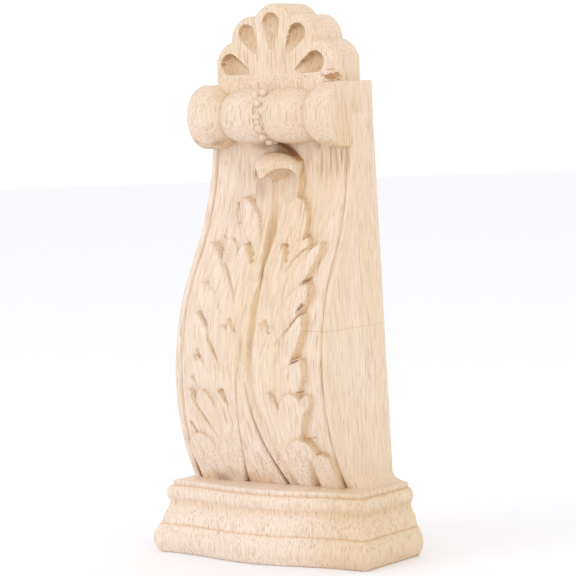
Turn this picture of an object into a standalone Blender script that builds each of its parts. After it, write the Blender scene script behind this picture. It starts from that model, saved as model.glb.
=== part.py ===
"""Carved wooden corbel: one solid of rubberwood with a shell crest, a turned roll,
an S-shaped body carrying an acanthus leaf, and a moulded plinth with a bowed front.

The front faces -Y, the flat back lies on y = 0 and +Z is up. The origin is the middle
of the mounting area on the back. Shape numbers are millimetres above the underside and
from the centre line; MM turns them into the metres that Blender works in.
"""

import math
from dataclasses import dataclass

import bmesh
import bpy
import numpy as np
from mathutils import Matrix, Vector

MM = 0.001
BACK_ALLOWANCE = 3.0          # each shape runs this far behind the back until it is sawn flat
MOUNT_HEIGHT = 75.0           # the origin's height above the underside

# Body: straight sides drawing in towards the top, and an ogee front of two tangent arcs
BODY_BASE_HALF_WIDTH = 26.96
BODY_TAPER = 0.03144          # half width lost for each millimetre of height
BODY_BOTTOM = 15.0
BODY_TOP = 128.0
BELLY_HEIGHT = 51.0
BELLY_DEPTH = 28.2
BELLY_RADIUS = 58.0
NECK_HEIGHT = 114.0
NECK_DEPTH = 10.5
PANEL_CROWN = 0.3             # the panel stands this much prouder on the centre line
BORDER_WIDTH = 2.1
GROOVE_DEPTH = 0.45
GROOVE_HALF_WIDTH = 0.5
EDGE_EASE = 0.35
PANEL_COLUMNS = 84
PANEL_ROWS = 180

# Roll: a turned bar across the full width, with a bead ring, two bulbs and two bells
ROLL_DEPTH = 13.4
ROLL_HEIGHT = 119.8
RING_HALF_WIDTH = 1.7
RING_RADIUS = 6.3
BULB_CENTRE = 6.0
BULB_RADIUS = 7.75
BULB_HALF_LENGTH = 10.0
COLLAR_AT = 12.4              # where the bulb meets the bell's flare
COLLAR_RADIUS = 5.95
BAND_AT = 18.7                # where the flare meets the bell's outer band
BELL_RADIUS = 8.7
ROLL_SECTION_SIDES = 18
BEAD_RADIUS = 1.25
BEAD_RING_RADIUS = 7.2
BEAD_COUNT = 8
BEAD_FIRST_ANGLE = 82.0
BEAD_STEP_ANGLE = -26.0

# Shell crest: lobes of a scalloped outline about a hub, with a teardrop flute in each
SHELL_HUB_HEIGHT = 128.9
SHELL_DEPTH = 13.6
SHELL_FOOT = 121.0
SHELL_HALF_WIDTH = 19.4
SHELL_RIM = 1.3
SHELL_LOBES = ((0.0, 14.5, 6.6), (33.5, 13.8, 6.4), (71.0, 13.2, 7.0))  # from vertical, out, radius
FLUTES = ((0.0, 8.3, 18.3), (33.0, 8.9, 17.8), (70.5, 8.1, 17.6))       # from vertical, tip, end
FLUTE_RADIUS = 2.9
SHELL_ARC_STEPS = 7

# Curled leaf tip under the roll
CURL_HALF_WIDTH = 7.3
CURL_ROOT_DEPTH = 8.0
CURL_REACH = 21.0
CURL_TOP = 110.6
CURL_TIP_HEIGHT = 104.0
CURL_LIP_ARCH = 1.7           # the lip is this much higher between its tip and its ends
CURL_STATIONS = 12

# Plinth: half width, depth at the front corners and the bow of the front
PLINTH_HALF_WIDTH = 31.2
PLINTH_CORNER_DEPTH = 23.4
PLINTH_BOW = 4.2
PLINTH_BOW_HALF_WIDTH = 29.0
PLINTH_FRONT_STEPS = 14
# Moulding runs from the underside up, as an outward offset and a height
LOWER_TORUS = (3.0, 4.4, 0.0, 7.9)        # start offset, greatest offset, bottom, top
LOWER_FILLET = (2.7, 2.0, 7.9, 10.7)      # offset at the bottom, offset at the top, bottom, top
SCOTIA = (0.7, 10.7, 14.3)                # innermost offset, bottom, top
UPPER_TORUS = (0.7, 1.45, 14.3, 18.35)
UPPER_FILLET = (0.0, 0.0, 18.35, 19.8)
LEDGE = (-3.9, 20.4)                      # inner offset and height where the body rises
COVE_RADIUS = 1.3

WOOD_COLOUR = (0.83, 0.66, 0.47, 1.0)
WOOD_ROUGHNESS = 0.62


@dataclass(frozen=True)
class Lobe:
    """One leaflet of the leaf: a bent axis, a half width and its heights on the panel."""

    root: tuple
    bend: tuple
    tip: tuple
    half_width: float
    root_rise: float
    tip_rise: float
    widest: float = 0.6


# Leaflets right of the centre line, from the top tier down; each has a mirrored twin
LEAFLETS = (
    Lobe((2.2, 76.0), (8.4, 84.0), (8.6, 97.6), 4.5, 0.9, 2.3),
    Lobe((5.0, 58.0), (9.5, 72.0), (17.8, 85.6), 2.7, 0.7, 2.2, 0.65),
    Lobe((4.0, 64.0), (7.5, 76.0), (13.4, 86.0), 2.6, 0.9, 2.3, 0.65),
    Lobe((1.5, 66.0), (4.0, 76.0), (5.4, 86.0), 2.9, 0.6, 2.0, 0.65),
    Lobe((7.0, 60.0), (10.5, 71.0), (17.2, 75.6), 2.8, 0.9, 2.4),
    Lobe((9.5, 44.0), (12.2, 55.0), (16.8, 67.8), 3.0, 0.9, 2.5),
    Lobe((6.5, 46.0), (9.5, 56.0), (13.2, 67.0), 2.6, 1.2, 2.3, 0.65),
    Lobe((4.0, 44.0), (5.6, 55.0), (6.3, 65.4), 2.6, 1.2, 2.1, 0.65),
    Lobe((2.0, 42.0), (2.4, 52.0), (2.4, 62.4), 1.9, 1.2, 1.7, 0.65),
    Lobe((10.5, 36.0), (13.0, 46.0), (16.6, 55.0), 3.1, 0.9, 2.4),
    Lobe((9.0, 30.0), (13.2, 38.0), (18.3, 46.9), 4.3, 0.8, 2.5, 0.62),
    Lobe((6.5, 30.0), (7.2, 40.0), (8.3, 46.6), 2.3, 1.0, 2.2, 0.62),
    Lobe((8.6, 12.0), (4.2, 36.0), (2.0, 60.0), 2.3, 2.6, 1.0, 0.4),
    Lobe((11.0, 16.0), (14.0, 27.0), (18.8, 33.8), 4.6, 1.0, 2.5, 0.62),
    Lobe((17.0, 10.0), (19.0, 22.0), (21.6, 30.2), 3.9, 1.2, 2.4, 0.62),
)
STEM_FIELD = Lobe((0.0, 8.0), (0.0, 26.0), (0.0, 60.0), 5.2, 2.0, 1.0, 0.2)
CENTRE_BLADE = Lobe((0.0, 60.0), (0.0, 84.0), (0.0, 110.5), 7.9, 0.5, 2.4, 0.8)
BLADE_VALLEY_RISE = 0.35      # the share of the blade's rise left along its middle
LEAF_SWELL = 2.0              # the lower leaf rides on a swell about the centre line
SWELL_HALF_WIDTH = 17.0
SWELL_HEIGHT = 39.0
SWELL_REACH = 24.0
EDGE_FALL = 0.16              # share of a leaflet's half width taken by its falling edge
AXIS_STEPS = 12


def neck_radius():
    """Radius that makes the neck's arc tangent to the belly's arc."""
    rise = NECK_HEIGHT - BELLY_HEIGHT
    swing = BELLY_DEPTH - NECK_DEPTH
    return (rise**2 + swing**2) / (2.0 * swing) - BELLY_RADIUS


def body_half_width(height):
    """Half width of the straight-sided body at a height."""
    return BODY_BASE_HALF_WIDTH - BODY_TAPER * height


def front_depth(height):
    """Depth of the ogee front from the back plane, before any carving."""
    height = np.asarray(height, dtype=float)
    upper_radius = neck_radius()
    share = BELLY_RADIUS / (BELLY_RADIUS + upper_radius)
    turn = BELLY_HEIGHT + (NECK_HEIGHT - BELLY_HEIGHT) * share
    low = np.clip(height - BELLY_HEIGHT, -BELLY_RADIUS, BELLY_RADIUS)
    belly = BELLY_DEPTH - BELLY_RADIUS + np.sqrt(BELLY_RADIUS**2 - low**2)
    high = np.clip(NECK_HEIGHT - height, 0.0, upper_radius)
    neck = NECK_DEPTH + upper_radius - np.sqrt(upper_radius**2 - high**2)
    return np.where(height < turn, belly, neck)


def lobe_axis(lobe):
    """Points along a leaflet's bent axis, root first."""
    t = np.linspace(0.0, 1.0, AXIS_STEPS + 1)[:, None]
    root, bend, tip = (np.array(point) for point in (lobe.root, lobe.bend, lobe.tip))
    return (1 - t) ** 2 * root + 2 * t * (1 - t) * bend + t**2 * tip


def nearest_on_axis(x, z, points):
    """Distance from the axis and place along it, 0 at the root and 1 at the tip."""
    best = np.full(x.shape, np.inf)
    place = np.zeros(x.shape)
    steps = len(points) - 1
    for index in range(steps):
        start, end = points[index], points[index + 1]
        run = end - start
        along = ((x - start[0]) * run[0] + (z - start[1]) * run[1]) / run.dot(run)
        along = np.clip(along, 0.0, 1.0)
        gap = np.hypot(x - start[0] - along * run[0], z - start[1] - along * run[1])
        closer = gap < best
        best = np.where(closer, gap, best)
        place = np.where(closer, (index + along) / steps, place)
    return best, place


def lobe_section(x, z, lobe):
    """Share of the half width away from the axis (over 1 outside) and place along it."""
    gap, place = nearest_on_axis(x, z, lobe_axis(lobe))
    before = np.clip((lobe.widest - place) / lobe.widest, 0.0, 1.0)
    after = np.clip((place - lobe.widest) / (1.0 - lobe.widest), 0.0, 1.0)
    width = lobe.half_width * np.sqrt(np.clip(1.0 - after**2, 1e-4, 1.0)) * (1.0 - 0.45 * before)
    return gap / width, place


def swell(x, z):
    """The low mound under the lower leaf, highest on the centre line."""
    across = np.clip(1.0 - (x / SWELL_HALF_WIDTH) ** 2, 0.0, 1.0)
    along = np.clip(1.0 - ((z - SWELL_HEIGHT) / SWELL_REACH) ** 2, 0.0, 1.0)
    return LEAF_SWELL * across * along


def edge_fall(share):
    """1 inside a leaflet, falling smoothly to 0 at its edge."""
    fall = np.clip((1.0 - share) / EDGE_FALL, 0.0, 1.0)
    return fall * fall * (3.0 - 2.0 * fall)


def leaf_rise(x, z):
    """Height of the leaf above the bare panel."""
    x = np.abs(x)
    mound = swell(x, z)
    rise = np.zeros(x.shape)
    share, place = lobe_section(x, z, CENTRE_BLADE)
    height = CENTRE_BLADE.root_rise + (CENTRE_BLADE.tip_rise - CENTRE_BLADE.root_rise) * place
    dish = BLADE_VALLEY_RISE + (1.0 - BLADE_VALLEY_RISE) * np.clip(share, 0.0, 1.0) ** 1.3
    rise = np.maximum(rise, (height * dish + mound) * edge_fall(share))
    for lobe in LEAFLETS + (STEM_FIELD,):
        share, place = lobe_section(x, z, lobe)
        height = lobe.root_rise + (lobe.tip_rise - lobe.root_rise) * place**1.3
        pillow = height * (1.0 - 0.4 * np.clip(share, 0.0, 1.0) ** 2) + mound
        rise = np.maximum(rise, pillow * edge_fall(share))
    return rise


def border_cut(edge_gap):
    """Depth taken off beside the edge: the eased arris and the groove inside the border."""
    groove = np.clip(1.0 - np.abs(edge_gap - BORDER_WIDTH) / GROOVE_HALF_WIDTH, 0.0, 1.0)
    ease = np.clip(1.0 - edge_gap / EDGE_EASE, 0.0, 1.0)
    return GROOVE_DEPTH * groove + EDGE_EASE * ease


def front_face_depth(x, z):
    """Depth of the carved front at a point of the panel."""
    half = body_half_width(z)
    edge_gap = half - np.abs(x)
    inside = np.clip((edge_gap - BORDER_WIDTH - GROOVE_HALF_WIDTH) / 1.0, 0.0, 1.0)
    crown = PANEL_CROWN * (1.0 - np.clip(np.abs(x) / half, 0.0, 1.0) ** 2) * inside
    return front_depth(z) + crown - border_cut(edge_gap) + leaf_rise(x, z) * inside


def add_object(name, collection):
    """An empty mesh object in a collection."""
    mesh = bpy.data.meshes.new(name)
    obj = bpy.data.objects.new(name, mesh)
    collection.objects.link(obj)
    return obj


def fill_from_bmesh(obj, shape):
    """Give the object the bmesh's faces, facing outwards."""
    bmesh.ops.recalc_face_normals(shape, faces=shape.faces)
    shape.to_mesh(obj.data)
    shape.free()
    obj.data.update()


def skin_rings(shape, rings):
    """Join rings of equal length into a tube and cap both ends."""
    loops = []
    for ring in rings:
        loops.append([shape.verts.new([value * MM for value in point]) for point in ring])
    count = len(loops[0])
    for lower, upper in zip(loops[:-1], loops[1:]):
        for index in range(count):
            after = (index + 1) % count
            shape.faces.new((lower[index], lower[after], upper[after], upper[index]))
    shape.faces.new(loops[0])
    shape.faces.new(list(reversed(loops[-1])))


def panel_columns(half):
    """Places across the front: close together at the border, even between."""
    edge = [0.0, EDGE_EASE, BORDER_WIDTH - GROOVE_HALF_WIDTH, BORDER_WIDTH,
            BORDER_WIDTH + GROOVE_HALF_WIDTH, BORDER_WIDTH + GROOVE_HALF_WIDTH + 1.0]
    inner = half - edge[-1]
    middle = np.linspace(-inner, inner, PANEL_COLUMNS)
    left = [gap - half for gap in edge[:-1]]
    return np.concatenate((left, middle, [-value for value in reversed(left)]))


def build_body(collection):
    """The tapering block with its ogee front, border and leaf."""
    heights = np.linspace(BODY_BOTTOM, BODY_TOP, PANEL_ROWS)
    shape = bmesh.new()
    rows = []
    for height in heights:
        across = panel_columns(body_half_width(height))
        depth = front_face_depth(across, np.full(across.shape, height))
        rows.append([shape.verts.new((x * MM, -y * MM, height * MM)) for x, y in zip(across, depth)])
    for lower, upper in zip(rows[:-1], rows[1:]):
        for index in range(len(lower) - 1):
            shape.faces.new((lower[index], lower[index + 1], upper[index + 1], upper[index]))
    corners = {}
    for key, height in (("low", BODY_BOTTOM), ("high", BODY_TOP)):
        half = body_half_width(height)
        for side in (-1, 1):
            corners[key, side] = shape.verts.new((side * half * MM, BACK_ALLOWANCE * MM, height * MM))
    left_edge = [row[0] for row in rows]
    right_edge = [row[-1] for row in rows]
    shape.faces.new(left_edge + [corners["high", -1], corners["low", -1]])
    shape.faces.new(right_edge + [corners["high", 1], corners["low", 1]])
    shape.faces.new(rows[0] + [corners["low", 1], corners["low", -1]])
    shape.faces.new(rows[-1] + [corners["high", 1], corners["high", -1]])
    shape.faces.new([corners["low", -1], corners["low", 1], corners["high", 1], corners["high", -1]])
    obj = add_object("carved_corbel", collection)
    fill_from_bmesh(obj, shape)
    return obj


def roll_radius(x):
    """Radius of the turned roll at a distance from the centre line."""
    out = abs(x)
    if out < RING_HALF_WIDTH:
        return RING_RADIUS
    if out < COLLAR_AT:
        return BULB_RADIUS * math.sqrt(1.0 - ((out - BULB_CENTRE) / BULB_HALF_LENGTH) ** 2)
    if out < BAND_AT:
        share = (out - COLLAR_AT) / (BAND_AT - COLLAR_AT)
        return COLLAR_RADIUS + (BELL_RADIUS - COLLAR_RADIUS) * math.sin(share * math.pi / 2) ** 1.15
    return BELL_RADIUS


def roll_stations():
    """Places along the roll, from the centre ring to the right end."""
    end = body_half_width(ROLL_HEIGHT)
    bulb = np.linspace(RING_HALF_WIDTH + 0.05, COLLAR_AT - 0.05, 10)
    flare = np.linspace(COLLAR_AT + 0.05, BAND_AT, 7)
    return [0.0, RING_HALF_WIDTH - 0.05, *bulb, *flare, end - 0.5, end]


def roll_ring(x):
    """Half-round section with a straight block behind it, at one station."""
    end = body_half_width(ROLL_HEIGHT)
    radius = roll_radius(x) - (0.3 if abs(x) > end - 0.1 else 0.0)
    ring = []
    for step in range(ROLL_SECTION_SIDES + 1):
        angle = math.pi / 2 + math.pi * step / ROLL_SECTION_SIDES
        ring.append((x, -ROLL_DEPTH + radius * math.cos(angle), ROLL_HEIGHT + radius * math.sin(angle)))
    ring.append((x, BACK_ALLOWANCE, ROLL_HEIGHT - radius))
    ring.append((x, BACK_ALLOWANCE, ROLL_HEIGHT + radius))
    return ring


def build_roll(collection):
    """The turned roll, worked out from the centre to each end."""
    right = roll_stations()
    stations = [-x for x in reversed(right[1:])] + right
    shape = bmesh.new()
    skin_rings(shape, [roll_ring(x) for x in stations])
    obj = add_object("roll", collection)
    fill_from_bmesh(obj, shape)
    return obj


def build_beads(collection):
    """The row of small beads wrapping the ring between the bulbs."""
    shape = bmesh.new()
    for index in range(BEAD_COUNT):
        angle = math.radians(BEAD_FIRST_ANGLE + index * BEAD_STEP_ANGLE)
        centre = Vector((0.0, -ROLL_DEPTH - BEAD_RING_RADIUS * math.cos(angle),
                         ROLL_HEIGHT + BEAD_RING_RADIUS * math.sin(angle))) * MM
        bmesh.ops.create_uvsphere(shape, u_segments=10, v_segments=7, radius=BEAD_RADIUS * MM,
                                  matrix=Matrix.Translation(centre))
    obj = add_object("beads", collection)
    fill_from_bmesh(obj, shape)
    return obj


def shell_outline():
    """Right half of the scalloped outline, from the top round to the foot."""
    circles = []
    for lean, out, radius in SHELL_LOBES:
        angle = math.radians(lean)
        circles.append((out * math.sin(angle), SHELL_HUB_HEIGHT + out * math.cos(angle), radius))
    points = []
    for index, (x, z, radius) in enumerate(circles):
        start = math.pi / 2
        if index:
            start = circle_crossing(circles[index], circles[index - 1])
        finish = 0.0
        if index < len(circles) - 1:
            finish = circle_crossing(circles[index], circles[index + 1])
        for step in range(SHELL_ARC_STEPS + 1):
            angle = start + (finish - start) * step / SHELL_ARC_STEPS
            point = (min(x + radius * math.cos(angle), SHELL_HALF_WIDTH), z + radius * math.sin(angle))
            if not points or math.dist(point, points[-1]) > 0.3:
                points.append(point)
    points.append((SHELL_HALF_WIDTH, SHELL_FOOT))
    return points


def circle_crossing(here, other):
    """Angle on the first circle of its outer crossing with the second."""
    gap = math.hypot(other[0] - here[0], other[1] - here[1])
    toward = math.atan2(other[1] - here[1], other[0] - here[0])
    spread = math.acos((gap**2 + here[2] ** 2 - other[2] ** 2) / (2.0 * gap * here[2]))
    outward = math.atan2(here[1] + other[1] - 2 * SHELL_HUB_HEIGHT, here[0] + other[0])
    choices = (toward + spread, toward - spread)
    return min(choices, key=lambda angle: abs(math.remainder(angle - outward, math.tau)))


def build_shell(collection):
    """The scalloped crest, extruded back from its front face with an eased rim."""
    half = shell_outline()
    outline = half + [(-x, z) for x, z in reversed(half) if x > 0.0]
    curve = bpy.data.curves.new("shell_outline", "CURVE")
    curve.dimensions = "2D"
    curve.fill_mode = "BOTH"
    curve.extrude = (SHELL_DEPTH + BACK_ALLOWANCE - 2 * SHELL_RIM) / 2 * MM
    curve.bevel_depth = SHELL_RIM * MM
    curve.bevel_resolution = 1
    curve.offset = -SHELL_RIM * MM
    spline = curve.splines.new("POLY")
    spline.points.add(len(outline) - 1)
    for point, (x, z) in zip(spline.points, outline):
        point.co = (x * MM, z * MM, 0.0, 1.0)
    spline.use_cyclic_u = True
    return mesh_from_curve(curve, collection)


def mesh_from_curve(curve, collection):
    """The filled curve as a closed mesh, stood upright with its face to the front."""
    flat = bpy.data.objects.new(curve.name, curve)
    bpy.context.scene.collection.objects.link(flat)
    bpy.context.view_layer.update()
    mesh = bpy.data.meshes.new_from_object(flat.evaluated_get(bpy.context.evaluated_depsgraph_get()))
    bpy.data.objects.remove(flat, do_unlink=True)
    upright = Matrix.Translation((0.0, (BACK_ALLOWANCE - SHELL_DEPTH) / 2 * MM, 0.0))
    mesh.transform(upright @ Matrix.Rotation(math.pi / 2, 4, "X"))
    obj = add_object("shell", collection)
    obj.data = mesh
    shape = bmesh.new()
    shape.from_mesh(mesh)
    bmesh.ops.remove_doubles(shape, verts=shape.verts, dist=0.01 * MM)
    fill_from_bmesh(obj, shape)
    return obj


def build_flutes(collection):
    """Teardrop gouges, each a turned profile lying in the shell's front face."""
    shape = bmesh.new()
    for lean, tip, end in FLUTES:
        for side in ((1,) if lean == 0.0 else (1, -1)):
            add_flute(shape, math.radians(lean) * side, tip, end)
    obj = add_object("flute_cutters", collection)
    fill_from_bmesh(obj, shape)
    return obj


def add_flute(shape, lean, tip, end):
    """One gouge: a cone from its tip that ends in a half sphere."""
    stations = [(tip, 0.15)]
    shoulder = end - FLUTE_RADIUS
    for share in (0.25, 0.5, 0.75):
        stations.append((tip + (shoulder - tip) * share, FLUTE_RADIUS * share**0.65))
    for angle in (0.0, 0.35, 0.7, 1.05, 1.35):
        stations.append((shoulder + FLUTE_RADIUS * math.sin(angle), FLUTE_RADIUS * math.cos(angle)))
    rings = []
    for out, radius in stations:
        ring = []
        for step in range(14):
            turn = math.tau * step / 14
            across = radius * math.cos(turn)
            ring.append((out * math.sin(lean) + across * math.cos(lean),
                         -SHELL_DEPTH + radius * math.sin(turn),
                         SHELL_HUB_HEIGHT + out * math.cos(lean) - across * math.sin(lean)))
        rings.append(ring)
    skin_rings(shape, rings)


def build_curl(collection):
    """The leaf tip that curls forward under the roll, scooped beneath."""
    rings = []
    for index in range(CURL_STATIONS + 1):
        share = -1.0 + 2.0 * index / CURL_STATIONS
        share = math.sin(share * math.pi / 2) * 0.985
        x = CURL_HALF_WIDTH * share
        fullness = math.sqrt(1.0 - share**2)
        reach = CURL_ROOT_DEPTH + 3.2 + (CURL_REACH - CURL_ROOT_DEPTH - 3.2) * fullness**0.9
        top = CURL_TOP - 4.0 * (1.0 - fullness)
        tip = CURL_TIP_HEIGHT + CURL_LIP_ARCH * math.sin(math.pi * abs(share)) ** 0.8
        rings.append(curl_ring(x, reach, top, tip))
    shape = bmesh.new()
    skin_rings(shape, rings)
    obj = add_object("curled_tip", collection)
    fill_from_bmesh(obj, shape)
    return obj


def curl_ring(x, reach, top, tip):
    """Section of the curl: over the top, round the lip and back under the scoop."""
    root = CURL_ROOT_DEPTH
    ring = [(x, -root, top)]
    for angle in (25.0, 50.0, 70.0, 85.0):
        turn = math.radians(angle)
        depth = root + (reach - root) * math.sin(turn)
        ring.append((x, -depth, tip + (top - tip) * math.cos(turn)))
    ring.append((x, -(reach - 0.1), tip - 0.7))
    ring.append((x, -(reach - 1.0), tip - 0.9))
    ring.append((x, -(root + (reach - root) * 0.72), tip + (top - tip) * 0.12))
    ring.append((x, -(root + (reach - root) * 0.5), tip + (top - tip) * 0.1))
    ring.append((x, -(root + (reach - root) * 0.36), tip - 1.2))
    ring.append((x, -root, tip - 2.5))
    return ring


def plinth_profile():
    """The moulding as outward offsets and heights, from the underside to the body."""
    points = []
    start, swell_out, low, high = LOWER_TORUS
    for step in range(8):
        turn = math.pi * step / 7
        points.append((start + (swell_out - start) * math.sin(turn), low + (high - low) * step / 7))
    foot, head, low, high = LOWER_FILLET
    points += [(foot, low + 0.05), (head, high)]
    innermost, low, high = SCOTIA
    for share in (0.33, 0.66):
        points.append((head + (innermost - head) * math.sin(share * math.pi / 2), low + (high - low) * share))
    start, swell_out, low, high = UPPER_TORUS
    for step in range(6):
        turn = math.pi * step / 5
        points.append((start + (swell_out - start) * math.sin(turn), low + (high - low) * step / 5))
    foot, head, low, high = UPPER_FILLET
    points += [(foot, low + 0.05), (head, high - 0.2), (head - 0.2, high)]
    inner, top = LEDGE
    points.append((inner + COVE_RADIUS * 0.6, top))
    points.append((inner - 0.1, top + COVE_RADIUS * 0.5))
    points.append((inner - 0.75, top + COVE_RADIUS * 1.6))
    return points


def plinth_ring(offset, height):
    """Plan of the plinth at one height: square back, mitred returns, bowed front."""
    half = PLINTH_HALF_WIDTH + offset
    corner = PLINTH_CORNER_DEPTH + offset
    ring = [(-half, BACK_ALLOWANCE, height)]
    for step in range(PLINTH_FRONT_STEPS + 1):
        x = half * (2.0 * step / PLINTH_FRONT_STEPS - 1.0)
        bow = 0.0
        if abs(x) < PLINTH_BOW_HALF_WIDTH:
            bow = PLINTH_BOW * math.cos(math.pi / 2 * x / PLINTH_BOW_HALF_WIDTH) ** 2
        ring.append((x, -(corner + bow), height))
    ring.append((half, BACK_ALLOWANCE, height))
    return ring


def build_plinth(collection):
    """The moulded plinth, one plan ring for each point of its profile."""
    shape = bmesh.new()
    skin_rings(shape, [plinth_ring(offset, height) for offset, height in plinth_profile()])
    obj = add_object("plinth", collection)
    fill_from_bmesh(obj, shape)
    return obj


def build_saw(collection):
    """A block behind the back plane that trims everything flat."""
    shape = bmesh.new()
    size = Matrix.Diagonal((0.2, 0.02, 0.3, 1.0))
    bmesh.ops.create_cube(shape, size=1.0, matrix=Matrix.Translation((0.0, 0.01, 0.08)) @ size)
    obj = add_object("back_saw", collection)
    fill_from_bmesh(obj, shape)
    return obj


def add_boolean(target, other, operation):
    """An exact Boolean with another object or a collection of them."""
    modifier = target.modifiers.new(operation.lower(), "BOOLEAN")
    modifier.solver = "EXACT"
    modifier.operation = operation
    if isinstance(other, bpy.types.Collection):
        modifier.operand_type = "COLLECTION"
        modifier.collection = other
    else:
        modifier.object = other
    return modifier


def rubberwood():
    """Pale, unfinished, close to matt wood."""
    material = bpy.data.materials.new("rubberwood")
    material.use_nodes = True
    shader = material.node_tree.nodes["Principled BSDF"]
    shader.inputs["Base Color"].default_value = WOOD_COLOUR
    shader.inputs["Roughness"].default_value = WOOD_ROUGHNESS
    shader.inputs["Metallic"].default_value = 0.0
    return material


def new_collection(name):
    """A collection under the scene's own."""
    collection = bpy.data.collections.new(name)
    bpy.context.scene.collection.children.link(collection)
    return collection


def main():
    for obj in list(bpy.data.objects):
        bpy.data.objects.remove(obj, do_unlink=True)
    part = new_collection("carved_corbel_part")
    joined = new_collection("joined_shapes")
    cutters = new_collection("cutters")
    body = build_body(part)
    shapes = [build_roll(joined), build_beads(joined), build_shell(joined),
              build_curl(joined), build_plinth(joined)]
    flutes = build_flutes(cutters)
    saw = build_saw(cutters)
    thin = body.modifiers.new("thin_out", "DECIMATE")
    thin.ratio = 0.155
    add_boolean(body, joined, "UNION")
    add_boolean(body, flutes, "DIFFERENCE")
    add_boolean(body, saw, "DIFFERENCE")
    for helper in shapes + [flutes, saw]:
        helper.hide_render = True
        helper.display_type = "WIRE"
    body.location.z = -MOUNT_HEIGHT * MM
    for helper in shapes + [flutes, saw]:
        helper.location.z -= MOUNT_HEIGHT * MM
    body.data.materials.append(rubberwood())


main()
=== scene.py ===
"""Carved wooden corbel in unfinished rubberwood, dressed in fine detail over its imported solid.

The front faces -Y, the flat back lies on y = 0 and +Z is up. Shape numbers are millimetres
above the underside and from the centre line. MM turns them into metres, and MOUNT_HEIGHT
puts the origin on the middle of the mounting area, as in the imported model.
"""

import logging
import math
from dataclasses import dataclass, field
from enum import Enum

import bmesh
import bpy
import numpy as np
from mathutils import Matrix, Vector


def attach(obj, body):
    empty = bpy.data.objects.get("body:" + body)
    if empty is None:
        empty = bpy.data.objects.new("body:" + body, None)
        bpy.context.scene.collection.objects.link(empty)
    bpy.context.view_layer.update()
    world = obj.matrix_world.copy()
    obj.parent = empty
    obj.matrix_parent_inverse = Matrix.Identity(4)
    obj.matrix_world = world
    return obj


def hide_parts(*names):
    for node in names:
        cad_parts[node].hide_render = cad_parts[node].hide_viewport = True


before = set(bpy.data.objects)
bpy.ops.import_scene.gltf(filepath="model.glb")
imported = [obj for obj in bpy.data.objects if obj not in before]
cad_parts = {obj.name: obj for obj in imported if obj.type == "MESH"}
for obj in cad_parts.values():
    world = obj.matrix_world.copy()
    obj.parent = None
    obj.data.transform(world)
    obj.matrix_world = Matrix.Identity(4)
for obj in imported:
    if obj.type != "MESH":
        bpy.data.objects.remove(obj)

MM = 0.001
MOUNT_HEIGHT = 75.0
# Where one piece runs inside another, its back stays this far in front of the shared back plane
TUCK = 0.06
SOLID = "carved_corbel"
LOG = logging.getLogger("corbel")

Grid = np.ndarray
Pair = tuple[float, float]
Triple = tuple[float, float, float]
Piece = bpy.types.Object
Socket = bpy.types.NodeSocket
Tree = bpy.types.NodeTree


class Side(Enum):
    """Which half of the mirrored carving something belongs to."""

    LEFT = -1
    RIGHT = 1


def smoothstep(value: Grid) -> Grid:
    """A soft ramp from 0 to 1 for values from 0 to 1."""
    value = np.clip(value, 0.0, 1.0)
    return value * value * (3.0 - 2.0 * value)


@dataclass(frozen=True)
class Ramp:
    """A soft step: 0 up to the first value and 1 from the second on, which may be the lower."""

    start: float
    end: float

    def at(self, value: Grid) -> Grid:
        """Height of the step at each value."""
        return smoothstep((value - self.start) / (self.end - self.start))


@dataclass(frozen=True)
class Patch:
    """A soft oval: its middle, its half sizes and how many half sizes it reaches."""

    centre: Pair
    size: Pair
    reach: float

    def at(self, x: Grid, z: Grid) -> Grid:
        """Strength of the patch at each place."""
        across, up = ((v - c) / s for v, c, s in zip((x, z), self.centre, self.size))
        return smoothstep(self.reach - np.hypot(across, up))


def wander(across: Grid, along: Grid, spacing: float, seed: int) -> Grid:
    """Smooth random unevenness, the same on every run.

    Args:
        across: First coordinate in millimetres.
        along: Second coordinate in millimetres, of the same shape.
        spacing: Distance between neighbouring rises in millimetres.
        seed: Picks the pattern.

    Returns:
        Values from -1 to 1 in the shape of the coordinates.
    """
    knots = np.random.default_rng(seed).uniform(-1.0, 1.0, (64, 64))
    u, v = across / spacing + 512.0, along / spacing + 512.0
    i, j = np.floor(u).astype(int), np.floor(v).astype(int)
    p, q = smoothstep(u - i), smoothstep(v - j)
    i, j = i % 63, j % 63
    low = knots[i, j] * (1 - p) + knots[i + 1, j] * p
    high = knots[i, j + 1] * (1 - p) + knots[i + 1, j + 1] * p
    return low * (1 - q) + high * q


def distance_to_path(x: Grid, z: Grid, path: Grid) -> tuple[Grid, Grid]:
    """Distance from a path and the place along it.

    Args:
        x: Distances from the centre line.
        z: Heights, of the same shape.
        path: Points of the path, one row each.

    Returns:
        The distance, and the place from 0 at the first point to 1 at the last.
    """
    best = np.full(x.shape, np.inf)
    place = np.zeros(x.shape)
    steps = len(path) - 1
    for index in range(steps):
        start, run = path[index], path[index + 1] - path[index]
        along = ((x - start[0]) * run[0] + (z - start[1]) * run[1]) / run.dot(run)
        along = np.clip(along, 0.0, 1.0)
        gap = np.hypot(x - start[0] - along * run[0], z - start[1] - along * run[1])
        closer = gap < best
        best = np.where(closer, gap, best)
        place = np.where(closer, (index + along) / steps, place)
    return best, place


def bent_path(root: tuple, bend: tuple, tip: tuple, steps: int = 14) -> Grid:
    """Points along a curve that leaves root towards bend and arrives at tip."""
    t = np.linspace(0.0, 1.0, steps + 1)[:, None]
    root, bend, tip = (np.array(point, float) for point in (root, bend, tip))
    return (1 - t) ** 2 * root + 2 * t * (1 - t) * bend + t**2 * tip


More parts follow.
